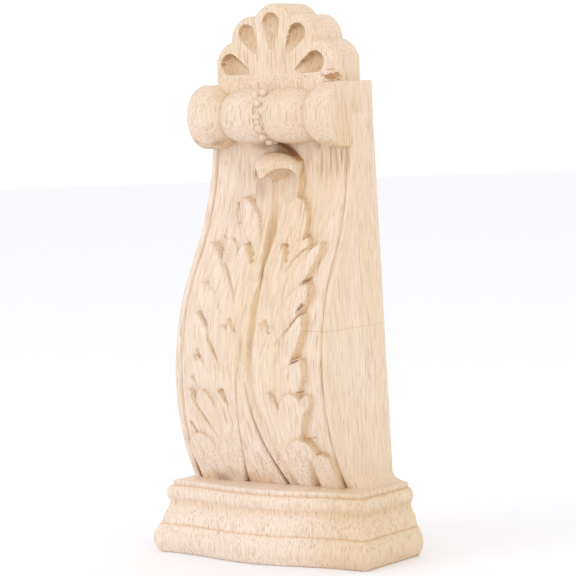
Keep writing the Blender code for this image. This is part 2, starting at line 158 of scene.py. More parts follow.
def loft(name: str, rings: Grid, marks: dict[str, Grid] | None = None) -> Piece:
    """Skin a stack of closed rings and cap both ends.

    Args:
        name: Name of the piece.
        rings: Points in millimetres above the underside, as ring, place round the ring, xyz.
        marks: Values for each point that the material reads by name.

    Returns:
        The closed piece, in the row's frame.
    """
    count, around = rings.shape[:2]
    number = np.arange(count * around).reshape(count, around)
    after = np.roll(number, -1, axis=1)
    quads = np.stack((number[:-1], after[:-1], after[1:], number[1:]), axis=-1).reshape(-1, 4)
    faces = quads.tolist() + [number[0][::-1].tolist(), number[-1].tolist()]
    points = rings.reshape(-1, 3).copy()
    points[:, 2] -= MOUNT_HEIGHT
    mesh = bpy.data.meshes.new(name)
    mesh.from_pydata((points * MM).tolist(), [], faces)
    for key, values in (marks or {}).items():
        layer = mesh.attributes.new(key, "FLOAT", "POINT")
        layer.data.foreach_set("value", values.reshape(-1).astype(np.float32))
    return finished_object(name, mesh)


def finished_object(name: str, mesh: bpy.types.Mesh, crisp: float = 38.0) -> Piece:
    """A shown object with outward faces, smooth but for edges sharper than crisp degrees."""
    shape = bmesh.new()
    shape.from_mesh(mesh)
    bmesh.ops.recalc_face_normals(shape, faces=shape.faces)
    shape.to_mesh(mesh)
    shape.free()
    mesh.shade_smooth()
    mesh.set_sharp_from_angle(angle=math.radians(crisp))
    obj = bpy.data.objects.new(name, mesh)
    bpy.context.scene.collection.objects.link(obj)
    return obj


@dataclass(frozen=True)
class Block:
    """The straight-sided body and its ogee front, before any carving."""

    base_half_width: float = 26.96
    taper: float = 0.03144
    bottom: float = 15.0
    top: float = 120.98
    belly_height: float = 51.0
    belly_depth: float = 28.2
    belly_radius: float = 58.0
    neck_height: float = 114.0
    neck_depth: float = 10.5
    crown: float = 0.3
    border_width: float = 2.1
    groove_depth: float = 0.6
    groove_half_width: float = 0.55
    edge_ease: float = 0.35

    def half_width(self, z: Grid | float) -> Grid | float:
        """Half width at a height."""
        return self.base_half_width - self.taper * z

    def neck_radius(self) -> float:
        """Radius that makes the neck's arc tangent to the belly's arc."""
        rise = self.neck_height - self.belly_height
        swing = self.belly_depth - self.neck_depth
        return (rise**2 + swing**2) / (2.0 * swing) - self.belly_radius

    def front_depth(self, z: Grid) -> Grid:
        """Depth of the ogee from the back plane at each height."""
        upper = self.neck_radius()
        share = self.belly_radius / (self.belly_radius + upper)
        turn = self.belly_height + (self.neck_height - self.belly_height) * share
        low = np.clip(z - self.belly_height, -self.belly_radius, self.belly_radius)
        belly = self.belly_depth - self.belly_radius + np.sqrt(self.belly_radius**2 - low**2)
        high = np.clip(self.neck_height - z, 0.0, upper)
        neck = self.neck_depth + upper - np.sqrt(upper**2 - high**2)
        return np.where(z < turn, belly, neck)

    def border_cut(self, edge_gap: Grid) -> Grid:
        """Depth taken off beside the edge: the eased arris and the groove."""
        groove = smoothstep(1.0 - np.abs(edge_gap - self.border_width) / self.groove_half_width)
        ease = np.clip(1.0 - edge_gap / self.edge_ease, 0.0, 1.0)
        return self.groove_depth * groove + self.edge_ease * ease**2


@dataclass(frozen=True)
class Leaflet:
    """One leaflet: a bent axis, its half width and how far its tip lifts off the web."""

    root: Pair
    bend: Pair
    tip: Pair
    half_width: float
    lift: float
    ease: float = 2.5
    widest: float = 0.6
    lean: float = 0.25
    rounding: float = 0.4
    wall: float = 0.5
    root_narrowing: float = 0.45
    sides: tuple[Side, ...] = (Side.LEFT, Side.RIGHT)

    def rise(self, x: Grid, z: Grid) -> tuple[Grid, Grid]:
        """Where the leaflet lies and how it lifts.

        Args:
            x: Distances from the centre line, towards the leaflet's own side.
            z: Heights, of the same shape.

        Returns:
            How far each point is covered, from 0 to 1, and the height there above the web.
        """
        path = bent_path(self.root, self.bend, self.tip)
        gap, place = distance_to_path(x, z, path)
        before = np.clip((self.widest - place) / self.widest, 0.0, 1.0)
        after = np.clip((place - self.widest) / (1.0 - self.widest), 0.0, 1.0)
        width = self.half_width * np.sqrt(np.clip(1.0 - after**2, 1e-4, 1.0))
        width = width * (1.0 - self.root_narrowing * before)
        share = np.clip(gap / width, 0.0, 1.0)
        axis_x = np.interp(place, np.linspace(0.0, 1.0, len(path)), path[:, 0])
        lift = self.lift * place**self.ease - self.rounding * share**2
        lift -= self.lean * place * share * np.sign(x - axis_x)
        return smoothstep((width - gap) / self.wall), lift


@dataclass(frozen=True)
class Blade:
    """The centre blade: a crest either side of the valley, a low left part and a dished right part."""

    foot: float = 74.0
    head: float = 112.0
    widest: float = 100.5
    half_width: float = 8.35
    left_share: float = 0.87
    crest: float = 1.75
    left_section: tuple[Pair, ...] = ((0.0, 1.75), (1.2, 1.75), (2.4, 0.95), (5.0, 0.65), (8.0, 0.8))
    rim_from: Ramp = Ramp(96.0, 100.0)
    rim_across: Ramp = Ramp(-2.6, -0.4)
    rim_height: float = 2.1
    foot_narrowing: float = 0.6
    foot_rise: float = 2.0
    dish_centre: Pair = (4.7, 102.0)
    dish_size: Pair = (3.5, 6.6)
    dish_depth: float = 0.8
    dish_wall: float = 2.2
    wall: float = 0.45

    def rise(self, x: Grid, z: Grid) -> Grid:
        """Height of the blade over the bare panel, 0 outside it.

        Args:
            x: Distances from the centre line.
            z: Heights, of the same shape.

        Returns:
            The height at each point.
        """
        below = np.clip((self.widest - z) / (self.widest - self.foot), 0.0, 1.0)
        above = np.clip((z - self.widest) / (self.head - self.widest), 0.0, 1.0)
        width = self.half_width * np.sqrt(np.clip(1.0 - above**2, 1e-4, 1.0))
        width = width * (1.0 - self.foot_narrowing * below**1.3) * np.where(x < 0.0, self.left_share, 1.0)
        out, heights = np.array(self.left_section).T
        left = np.interp(-x, out, heights)
        (across, up), (wide, tall) = self.dish_centre, self.dish_size
        dish = np.hypot((x - across) / wide, (z - up) / tall)
        right = self.crest - self.dish_depth * smoothstep((1.0 - dish) * self.dish_wall)
        rim = self.rim_across.at(np.abs(x) - width) * self.rim_from.at(z)
        height = np.where(x < 0.0, left, right)
        height = height + (self.rim_height - height) * rim
        height = height * smoothstep((width - np.abs(x)) / self.wall)
        return height * smoothstep((z - self.foot) / self.foot_rise)


@dataclass(frozen=True)
class Channel:
    """A cut down the leaf, by height, place across, half width, depth, warmth of its painted shade and
    strength of its painted shadow.
    """

    stations: tuple[tuple[float, ...], ...]
    flatness: float = 1.0
    chatter: float = 0.0
    chatter_pitch: float = 0.95
    chatter_slant: float = 0.4
    end_length: float = 0.6

    def cut(self, x: Grid, z: Grid) -> tuple[Grid, Grid, Grid]:
        """The channel at each point.

        Args:
            x: Distances from the centre line.
            z: Heights, of the same shape.

        Returns:
            The depth taken off, how warm its painted shade looks and how dark its painted shadow is.
        """
        table = np.array(sorted(self.stations))
        centre, width, depth, warmth, shadow_and_stain = (np.interp(z, table[:, 0], table[:, i]) for i in range(1, 6))
        foot, head = table[0, 0], table[-1, 0]
        ends = Ramp(foot - self.end_length, foot).at(z) * Ramp(head + self.end_length, head).at(z)
        shape = smoothstep((1.0 - np.abs(x - centre) / width) * self.flatness) * ends
        swing = np.sin(2 * np.pi * (z - self.chatter_slant * x) / self.chatter_pitch)
        steps = 1.0 - self.chatter * (0.5 + 0.5 * swing)
        return depth * shape, warmth * shape * steps, shadow_and_stain * shape * steps


@dataclass(frozen=True)
class Notch:
    """A short ragged knife cut where two leaflets part at the leaf's edge, with painted shadow at the bottom.
    """

    inner: Pair
    outer: Pair
    side: Side
    depth: float
    half_width: float
    shadow_and_stain: float
    warmth: float = 0.6
    # Height, spacing and pattern of the ragged edge, and the width where the cut starts
    ragged: tuple[float, float, int] = (0.24, 0.8, 31)
    inner_share: float = 0.4
    steepness: float = 1.2

    def cut(self, x: Grid, z: Grid) -> tuple[Grid, Grid, Grid]:
        """The notch at each point.

        Args:
            x: Distances from the centre line.
            z: Heights, of the same shape.

        Returns:
            The depth taken off, how warm its painted shade looks and how dark its painted shadow is.
        """
        gap, place = distance_to_path(x * self.side.value, z, np.array([self.inner, self.outer]))
        height, spacing, seed = self.ragged
        gap = gap + height * wander(x, z, spacing, seed)
        width = self.half_width * (self.inner_share + (1.0 - self.inner_share) * place)
        shape = smoothstep((1.0 - gap / width) * self.steepness)
        return self.depth * shape, self.warmth * shape, self.shadow_and_stain * shape


ONLY_LEFT = (Side.LEFT,)
ONLY_RIGHT = (Side.RIGHT,)

# The sheet that joins the leaflets, from the middle of the leaf outwards
WEBS = (
    Leaflet((0.0, 56.0), (0.0, 70.0), (0.0, 83.0), 10.5, 0.0, 2.5, 0.45, 0.0, 0.0, 1.0, 0.0),
    Leaflet((0.0, 8.0), (0.0, 40.0), (0.0, 64.0), 13.5, 0.0, 2.5, 0.4, 0.0, 0.0, 1.2, 0.0),
)
# Leaflets from the top tier down
LEAFLETS = (
    Leaflet((7.5, 78.0), (12.8, 86.0), (12.6, 96.4), 2.7, -0.3, 1.0, rounding=0.45, sides=ONLY_LEFT),
    Leaflet((5.0, 74.0), (8.0, 82.0), (9.0, 91.0), 4.2, -0.3, 1.0, rounding=0.3, sides=ONLY_LEFT),
    Leaflet((0.9, 80.5), (5.0, 88.8), (10.5, 97.8), 3.3, 0.75, 0.5, 0.6, lean=0.0, rounding=0.15, wall=0.7,
            root_narrowing=0.75, sides=ONLY_LEFT),
    Leaflet((2.4, 70.0), (8.4, 84.0), (8.0, 97.8), 4.8, 0.6, 1.6, 0.62, lean=0.1, rounding=0.3,
            sides=ONLY_RIGHT),
    Leaflet((1.5, 64.0), (5.4, 77.5), (6.2, 85.5), 3.0, 1.3, 2.2, 0.72, lean=0.0, rounding=0.2),
    Leaflet((5.0, 62.0), (9.6, 77.0), (12.0, 87.1), 2.9, 1.0, 2.2, 0.7, lean=0.1, rounding=0.3,
            sides=ONLY_LEFT),
    Leaflet((5.5, 62.0), (10.8, 77.0), (13.0, 87.4), 3.5, 0.7, 2.0, 0.7, lean=0.1, rounding=0.3,
            sides=ONLY_RIGHT),
    Leaflet((5.0, 64.0), (12.6, 74.5), (18.3, 86.0), 3.1, 1.15, 1.2, 0.55, lean=0.1, rounding=0.2,
            wall=0.8),
    Leaflet((6.0, 55.0), (12.0, 68.0), (18.0, 75.2), 3.5, 1.35, 1.4, 0.6, lean=0.1, rounding=0.2,
            wall=0.8),
    Leaflet((3.0, 44.0), (3.4, 56.0), (4.1, 65.0), 1.7, 1.0, 4.0, 0.75, lean=0.0, rounding=0.2,
            sides=ONLY_RIGHT),
    Leaflet((4.2, 44.0), (5.2, 56.0), (5.8, 65.2), 1.7, 1.1, 4.0, 0.75, lean=0.0, rounding=0.2,
            sides=ONLY_LEFT),
    Leaflet((6.0, 44.0), (7.4, 54.0), (8.2, 64.4), 2.1, 0.9, 3.0, 0.7, lean=0.1, rounding=0.3),
    Leaflet((6.0, 46.0), (9.4, 58.0), (13.4, 68.5), 2.7, 0.9, 2.4, 0.65, lean=0.15, rounding=0.3),
    Leaflet((8.0, 44.0), (13.2, 57.0), (17.7, 67.6), 2.8, 1.2, 1.0, 0.55, lean=0.15, rounding=0.2,
            wall=0.7),
    Leaflet((9.0, 38.0), (13.6, 47.0), (17.4, 56.0), 3.3, 1.0, 2.0, 0.6, rounding=0.25),
    Leaflet((12.0, 28.0), (18.5, 38.0), (20.3, 46.6), 2.0, -0.4, 1.0, 0.7, lean=0.0, sides=ONLY_LEFT),
    Leaflet((14.5, 38.5), (17.6, 43.0), (19.8, 46.2), 1.9, -0.2, 1.0, 0.7, lean=0.0, sides=ONLY_RIGHT),
    Leaflet((10.3, 24.0), (13.4, 37.0), (15.0, 46.8), 3.9, 1.2, 1.6, 0.7, rounding=0.3),
    Leaflet((7.6, 28.0), (8.0, 40.0), (8.2, 46.9), 2.2, 1.3, 4.0, 0.75, lean=0.0, rounding=0.2),
    Leaflet((20.2, 8.0), (20.2, 20.0), (20.6, 30.2), 4.6, 0.5, 2.0, 0.72, lean=0.0, rounding=0.5,
            sides=ONLY_RIGHT),
    Leaflet((11.8, 8.0), (12.8, 24.0), (16.4, 34.0), 4.8, 1.3, 2.0, 0.78, lean=0.1, rounding=0.5,
            sides=ONLY_RIGHT),
    Leaflet((15.6, 8.0), (16.6, 23.0), (19.0, 34.3), 5.5, 1.2, 2.0, 0.76, lean=0.1, rounding=0.4,
            root_narrowing=0.1, sides=ONLY_LEFT),
    Leaflet((14.0, 26.0), (17.6, 36.5), (20.6, 44.4), 3.6, 0.3, 1.4, 0.65, lean=0.0, rounding=0.3,
            sides=ONLY_LEFT),
)
# The valley up the blade, the stem's two halves, its creases, and the cuts between leaflets
CHANNELS = (
    Channel(((105.0, -0.3, 1.2, 0.8, 0.2, 0.0), (97.0, 0.3, 1.4, 0.8, 0.4, 0.0),
             (92.0, 0.8, 1.8, 1.0, 0.7, 0.0), (89.0, 1.1, 2.0, 1.0, 0.8, 0.1),
             (86.0, 1.1, 1.7, 0.9, 0.8, 0.15), (83.0, 1.2, 1.2, 0.8, 0.8, 0.15),
             (80.0, 1.4, 0.8, 0.8, 0.8, 0.2), (77.0, 1.8, 0.45, 0.7, 0.8, 0.4),
             (75.5, 1.9, 0.4, 0.5, 0.7, 0.2), (73.0, 1.6, 1.1, 0.5, 0.6, 0.0),
             (68.0, 1.3, 1.5, 0.6, 0.7, 0.0), (62.0, 1.3, 1.5, 0.6, 0.6, 0.05),
             (59.0, 1.4, 1.2, 0.5, 0.5, 0.1), (56.0, 1.6, 0.9, 0.3, 0.2, 0.0)), 1.5),
    Channel(((61.5, 1.0, 0.5, 0.1, 0.2, 0.0), (59.0, 1.1, 1.4, 0.6, 0.55, 0.04),
             (54.0, 1.6, 1.8, 0.6, 0.6, 0.02), (50.0, 2.1, 1.4, 0.5, 0.45, 0.05),
             (44.0, 3.0, 1.7, 0.5, 0.3, 0.0), (38.0, 4.9, 2.1, 0.5, 0.3, 0.0),
             (32.0, 6.7, 2.1, 0.5, 0.3, 0.0), (27.0, 7.9, 1.8, 0.6, 0.35, 0.0),
             (20.5, 9.6, 1.5, 0.9, 0.4, 0.08))),
    Channel(((49.0, 0.4, 0.4, 0.2, 0.3, 0.0), (44.7, 1.1, 0.5, 0.4, 0.5, 0.1),
             (41.0, 1.7, 0.6, 0.6, 0.5, 0.2), (37.0, 2.6, 0.6, 0.7, 0.6, 0.35),
             (29.7, 4.6, 0.6, 0.8, 0.6, 0.4), (23.9, 6.3, 0.8, 1.1, 0.7, 0.7),
             (20.5, 7.1, 0.9, 1.4, 0.7, 0.8))),
    Channel(((61.0, -1.6, 0.5, 0.2, 0.3, 0.0), (59.0, -1.6, 1.1, 0.5, 0.5, 0.04),
             (55.0, -1.9, 1.0, 0.4, 0.5, 0.02), (51.0, -2.4, 0.5, 0.3, 0.4, 0.1),
             (47.0, -2.7, 0.35, 0.3, 0.4, 0.15), (33.1, -3.4, 0.4, 0.4, 0.4, 0.15),
             (27.3, -4.6, 0.5, 0.5, 0.5, 0.2), (23.3, -5.8, 0.8, 0.9, 0.6, 0.5),
             (20.5, -6.6, 1.1, 1.4, 0.7, 0.95))),
    Channel(((28.5, 17.0, 0.8, 0.3, 0.3, 0.0), (25.0, 16.4, 1.4, 0.9, 0.6, 0.1),
             (22.0, 16.2, 1.7, 1.1, 0.8, 0.25), (20.5, 16.1, 1.8, 1.2, 0.9, 0.5))),
    Channel(((44.6, -19.4, 0.5, 0.2, 0.5, 0.0), (42.0, -17.4, 0.9, 0.5, 0.8, 0.0),
             (38.0, -14.4, 1.0, 0.5, 0.8, 0.05), (34.5, -12.0, 0.6, 0.3, 0.4, 0.0),
             (31.5, -10.8, 0.4, 0.1, 0.1, 0.0)), 1.3),
    Channel(((85.5, 15.6, 0.8, 0.3, 0.5, 0.0), (83.4, 12.6, 0.9, 0.45, 0.7, 0.08),
             (81.0, 10.4, 0.7, 0.4, 0.7, 0.08), (78.5, 9.5, 0.4, 0.2, 0.4, 0.0)), 1.3, 0.5),
    Channel(((80.0, -11.5, 0.5, 0.3, 0.7, 0.0), (78.5, -10.3, 0.7, 0.5, 0.8, 0.05),
             (75.9, -8.6, 0.65, 0.5, 0.8, 0.05), (73.3, -7.2, 0.6, 0.4, 0.7, 0.0),
             (70.0, -5.6, 0.4, 0.2, 0.3, 0.0)), 1.4),
    Channel(((61.0, -13.0, 0.5, 0.3, 0.7, 0.0), (59.2, -12.0, 0.6, 0.4, 0.8, 0.05),
             (55.0, -9.4, 0.55, 0.4, 0.7, 0.05), (52.0, -8.2, 0.4, 0.2, 0.3, 0.0)), 1.4),
    Channel(((66.0, 15.6, 0.4, 0.2, 0.4, 0.1), (63.0, 12.6, 0.5, 0.4, 0.4, 0.1),
             (59.5, 9.9, 0.4, 0.1, 0.2, 0.0))),
    Channel(((96.0, -12.2, 0.5, 0.3, 0.6, 0.05), (92.0, -11.4, 0.6, 0.35, 0.7, 0.1),
             (88.5, -9.4, 0.4, 0.2, 0.4, 0.05), (84.0, -8.6, 0.4, 0.2, 0.3, 0.0),
             (80.0, -7.6, 0.4, 0.1, 0.1, 0.0))),
)
# Cuts where leaflets part, down the right edge, down the left edge and within the tiers
NOTCHES = (
    Notch((12.2, 86.4), (12.7, 87.8), Side.RIGHT, 0.5, 0.5, 0.4),
    Notch((14.9, 75.3), (17.0, 76.6), Side.RIGHT, 0.8, 0.55, 0.6),
    Notch((15.2, 67.6), (16.8, 69.8), Side.RIGHT, 0.8, 0.6, 0.55),
    Notch((14.8, 54.5), (17.0, 55.4), Side.RIGHT, 0.7, 0.4, 0.4),
    Notch((16.0, 46.8), (17.6, 47.2), Side.RIGHT, 0.6, 0.4, 0.45),
    Notch((17.2, 34.3), (19.2, 34.7), Side.RIGHT, 0.5, 0.35, 0.38),
    Notch((13.4, 86.6), (16.4, 87.4), Side.LEFT, 0.4, 0.6, 0.0),
    Notch((8.4, 80.9), (6.9, 84.9), Side.RIGHT, 0.6, 1.3, 0.03, 0.85),
    Notch((2.9, 80.6), (5.4, 85.3), Side.LEFT, 0.6, 1.3, 0.02, 0.85),
    Notch((7.6, 62.2), (5.4, 65.0), Side.RIGHT, 0.5, 1.0, 0.0, 0.6),
    Notch((4.0, 62.2), (6.4, 65.4), Side.LEFT, 0.5, 0.9, 0.0, 0.6),
    Notch((10.8, 42.4), (8.7, 46.3), Side.RIGHT, 0.5, 1.0, 0.0, 0.55),
    Notch((5.8, 42.6), (7.8, 46.6), Side.LEFT, 0.6, 1.0, 0.06, 0.8),
    Notch((16.0, 54.6), (17.6, 57.0), Side.LEFT, 0.4, 0.5, 0.1),
    Notch((17.5, 47.2), (19.4, 49.5), Side.LEFT, 0.4, 0.8, 0.15),
    Notch((19.2, 34.4), (20.6, 37.2), Side.LEFT, 0.5, 0.6, 0.12),
)


@dataclass(frozen=True)
class AcanthusLeaf:
    """The leaf that covers the front: leaflets over a web, a centre blade and knife cuts."""

    web_height: float = 1.35
    webs: tuple[Leaflet, ...] = WEBS
    leaflets: tuple[Leaflet, ...] = LEAFLETS
    blade: Blade = Blade()
    channels: tuple[Channel, ...] = CHANNELS
    notches: tuple[Notch, ...] = NOTCHES
    swell: float = 1.64
    swell_half_width: float = 17.0
    swell_height: float = 39.0
    swell_reach: float = 24.0
    softness: float = 0.09
    most_crowded: float = 1.5
    blended_from: float = 0.8
    cut_from: float = 0.5
    deepest: float = -0.15

    def mound(self, x: Grid, z: Grid) -> Grid:
        """The low mound under the lower leaf, highest on the centre line."""
        across = np.clip(1.0 - (x / self.swell_half_width) ** 2, 0.0, 1.0)
        along = np.clip(1.0 - ((z - self.swell_height) / self.swell_reach) ** 2, 0.0, 1.0)
        return self.swell * across * along

    def carve(self, x: Grid, z: Grid) -> tuple[Grid, Grid, Grid]:
        """The whole leaf.

        Args:
            x: Distances from the centre line.
            z: Heights, of the same shape.

        Returns:
            The height over the bare panel, and the warmth of the painted shade and the painted shadow in the
            cuts.
        """
        web = self.web_height + self.mound(x, z)
        parts = [part.rise(x, z) for part in self.webs]
        parts += [part.rise(x * side.value, z) for part in self.leaflets for side in part.sides]
        layers = [self.blade.rise(x, z), web * np.max([cover for cover, lift in parts], axis=0)]
        layers += [cover * (web + lift) for cover, lift in parts]
        stack = np.stack(layers)
        top = stack.max(axis=0)
        crowd = np.minimum(np.exp((stack - top) / self.softness).sum(axis=0) - 1.0, self.most_crowded)
        height = top + self.softness * np.log1p(crowd) * smoothstep(top / self.blended_from)
        warmth = np.zeros(x.shape)
        shadow_and_stain = np.zeros(x.shape)
        for carved in self.channels + self.notches:
            depth, warm, dark = carved.cut(x, z)
            height = np.maximum(height - depth * smoothstep(top / self.cut_from), self.deepest)
            warmth = np.maximum(warmth, warm)
            shadow_and_stain = np.maximum(shadow_and_stain, dark)
        return height, warmth, shadow_and_stain


def box_blur(values: Grid, reach: int) -> Grid:
    """Mean over a square of 2 reach + 1 points, with edges held."""
    width = 2 * reach + 1
    for _ in range(2):
        total = np.pad(values, ((reach + 1, reach), (0, 0)), "edge").cumsum(axis=0)
        values = ((total[width:] - total[:-width]) / width).T
    return values


@dataclass(frozen=True)
class Front:
    """The body's carved front: places across, heights, distance in from the edge and relief."""

    x: Grid
    z: Grid
    gap: Grid
    # 1 on the panel and 0 on the border
    inside: Grid
    relief: Grid
    step: float


@dataclass(frozen=True)
class BodyMarks:
    """Painted shade and painted shadow on the body, its hatching, and where the grain is torn or open."""

    shade_reach: int = 5
    shade_depth: float = 0.9
    # Painted shade's strength on the level, lost by turning to the light, and least: in hollows and on walls
    hollow_turn: Triple = (0.7, 1.2, 0.25)
    wall_turn: Triple = (0.62, 0.38, 0.3)
    steep: Ramp = Ramp(0.8, 2.6)
    chatter_pitch: float = 0.75
    chatter_depth: float = 0.2
    # Warmth of the painted shade by the left border, on the left half and on the right half
    warmth: Triple = (0.2, 0.55, 0.62)
    border_shade: float = 3.3
    groove_centre: float = 2.1
    groove_half_width: float = 0.6
    # Painted shade along the left border groove, high up and low down
    warm_grooves: tuple[tuple[float, Ramp], ...] = ((0.45, Ramp(68.0, 74.0)), (0.4, Ramp(36.0, 30.0)))
    # Painted shadow in the border groove towards the foot, and in uneven patches along it lower down
    groove_foot: tuple[Ramp, Ramp] = (Ramp(29.0, 21.5), Ramp(25.5, 21.5))
    groove_foot_shadow: float = 0.85
    groove_patches: Ramp = Ramp(75.0, 65.0)
    groove_patch_shadow: Pair = (0.1, 0.3)
    # Painted shadow and painted shade in the recess over the curled tip: round its centre, upwards and to the
    # right
    recess_height: float = 104.0
    recess_edge: Ramp = Ramp(8.4, 7.6)
    recess_start: Ramp = Ramp(104.0, 107.0)
    recess_shadows: tuple[tuple[float, Ramp], ...] = ((0.6, Ramp(-3.5, 1.0)), (0.12, Ramp(1.5, 4.5)))
    recess_warmth: Ramp = Ramp(-1.0, 2.0)
    # Painted shadow just under the roll, left of the curl
    roll_shadow: Patch = Patch((-5.6, 111.9), (3.4, 1.6), 1.3)
    roll_shadow_strength: float = 0.5
    # Painted shadow on the blade below the curled tip's nose
    curl_shade: Patch = Patch((-4.6, 99.0), (2.2, 3.6), 1.2)
    curl_shadow_strength: float = 0.22
    # Darker streaky hatching on the panel under the right half of the roll
    hatch: Patch = Patch((15.5, 109.0), (6.0, 5.5), 1.4)
    hatch_darkening: float = 0.42
    # Painted shadow and warm painted shade in the recesses at the leaf's foot, by the ledge
    foot_shadow: float = 0.5
    foot_shadowed: Ramp = Ramp(26.0, 22.0)
    foot_left: Ramp = Ramp(-18.5, -16.5)
    foot_right: Ramp = Ramp(-5.5, -7.5)
    foot_warmth: float = 0.75
    foot_warm: Ramp = Ramp(25.5, 21.5)
    foot_warm_until: float = 3.0
    torn_below: Ramp = Ramp(35.0, 28.0)
    torn_patch: Patch = Patch((-12.0, 82.5), (2.6, 4.0), 1.3)
    open_across: Ramp = Ramp(5.0, 9.0)
    open_above: Ramp = Ramp(84.0, 98.0)

    def shade(self, front: Front) -> Grid:
        """Painted shade for the wood's depth and slope.

        Args:
            front: The carved front.

        Returns:
            The mark, from 0 to 1.
        """
        near = box_blur(front.relief, self.shade_reach)
        level, turned, least = self.hollow_turn
        deep = np.clip((near - front.relief) / self.shade_depth, 0.0, 1.0)
        deep *= np.clip(level - turned * np.gradient(near, axis=1) / front.step, least, 1.0)
        up, across = np.gradient(front.relief)
        slope = np.hypot(up, across)
        level, turned, least = self.wall_turn
        facing = np.clip(level - turned * across / np.maximum(slope, 1e-6), least, 1.0)
        chatter = 1.0 - self.chatter_depth * (1.0 - np.sin(front.z * 2 * np.pi / self.chatter_pitch))
        mark = np.maximum(deep, self.steep.at(slope / front.step) * chatter * facing)
        border, left, right = self.warmth
        return mark * np.where(front.x < 0.0, np.where(front.gap < self.border_shade, border, left), right)

    def groove(self, front: Front) -> Grid:
        """1 along the border groove, 0 away from it."""
        return smoothstep(1.0 - np.abs(front.gap - self.groove_centre) / self.groove_half_width)

    def recess(self, front: Front) -> Grid:
        """1 in the recess over the curled tip, 0 outside it."""
        out = np.hypot(front.x, front.z - self.recess_height)
        return self.recess_edge.at(out) * self.recess_start.at(front.z)

    def patches_at_foot(self, front: Front) -> Grid:
        """Uneven patches at the foot, from 0 to 1."""
        return 0.5 + 0.5 * wander(front.x, front.z, 3.5, 17)

    def painted_shade(self, front: Front, warmth: Grid) -> Grid:
        """Painted shade: where the wood is made warm and dark.

        Args:
            front: The carved front.
            warmth: The leaf's painted shade in its cuts.

        Returns:
            The mark, from 0 to 1.
        """
        lines = sum(share * ramp.at(front.z) for share, ramp in self.warm_grooves) * (front.x < 0.0)
        foot = self.foot_warmth * self.foot_warm.at(front.z) * (front.x < self.foot_warm_until) * front.inside
        return np.max((self.shade(front), warmth, self.groove(front) * lines, foot * self.patches_at_foot(front),
                       self.recess(front) * self.recess_warmth.at(front.x)), axis=0)

    def shadow_and_stain(self, front: Front, cuts: Grid) -> Grid:
        """Painted shadow in cuts, the groove, the recess, under the roll and below the curl, with the
        hatching.

        Args:
            front: The carved front.
            cuts: The leaf's painted shadow in its cuts.

        Returns:
            The mark, from 0 to 1.
        """
        x, z = front.x, front.z
        left_foot, right_foot = (ramp.at(z) for ramp in self.groove_foot)
        left_patch, right_patch = self.groove_patch_shadow
        patchy = smoothstep(wander(x, z, 6.0, 41) * 2.0) * self.groove_patches.at(z)
        groove = np.maximum(np.where(x < 0.0, left_foot, self.groove_foot_shadow * right_foot),
                            patchy * np.where(x < 0.0, left_patch, right_patch))
        recess = self.recess(front) * sum(share * ramp.at(x) for share, ramp in self.recess_shadows)
        roll_shadow = self.roll_shadow.at(x, z) * (0.7 + 0.3 * wander(x * 2.0, z, 1.0, 52))
        hatch = self.hatch.at(x, z) * smoothstep(wander(x * 9.0, z, 4.5, 51) * 1.6)
        foot = self.foot_shadowed.at(z) * self.foot_left.at(x) * self.foot_right.at(x) * front.inside
        return np.max((cuts, self.groove(front) * groove, recess, self.roll_shadow_strength * roll_shadow,
                       self.hatch_darkening * hatch, self.curl_shadow_strength * self.curl_shade.at(x, z),
                       self.foot_shadow * foot * self.patches_at_foot(front)), axis=0)

    def torn(self, front: Front) -> Grid:
        """Where the cutter met end grain: low on the leaf and in one patch."""
        low = self.torn_below.at(front.z) * (0.5 + 0.5 * self.patches_at_foot(front)) * front.inside
        return np.maximum(low, self.torn_patch.at(front.x, front.z))

    def opened(self, front: Front) -> Grid:
        """Where the flat cuts beside the neck show more vessels, the right side most."""
        amount = self.open_across.at(np.abs(front.x)) * self.open_above.at(front.z)
        return amount * (0.5 + 0.5 * (front.x > 0.0))


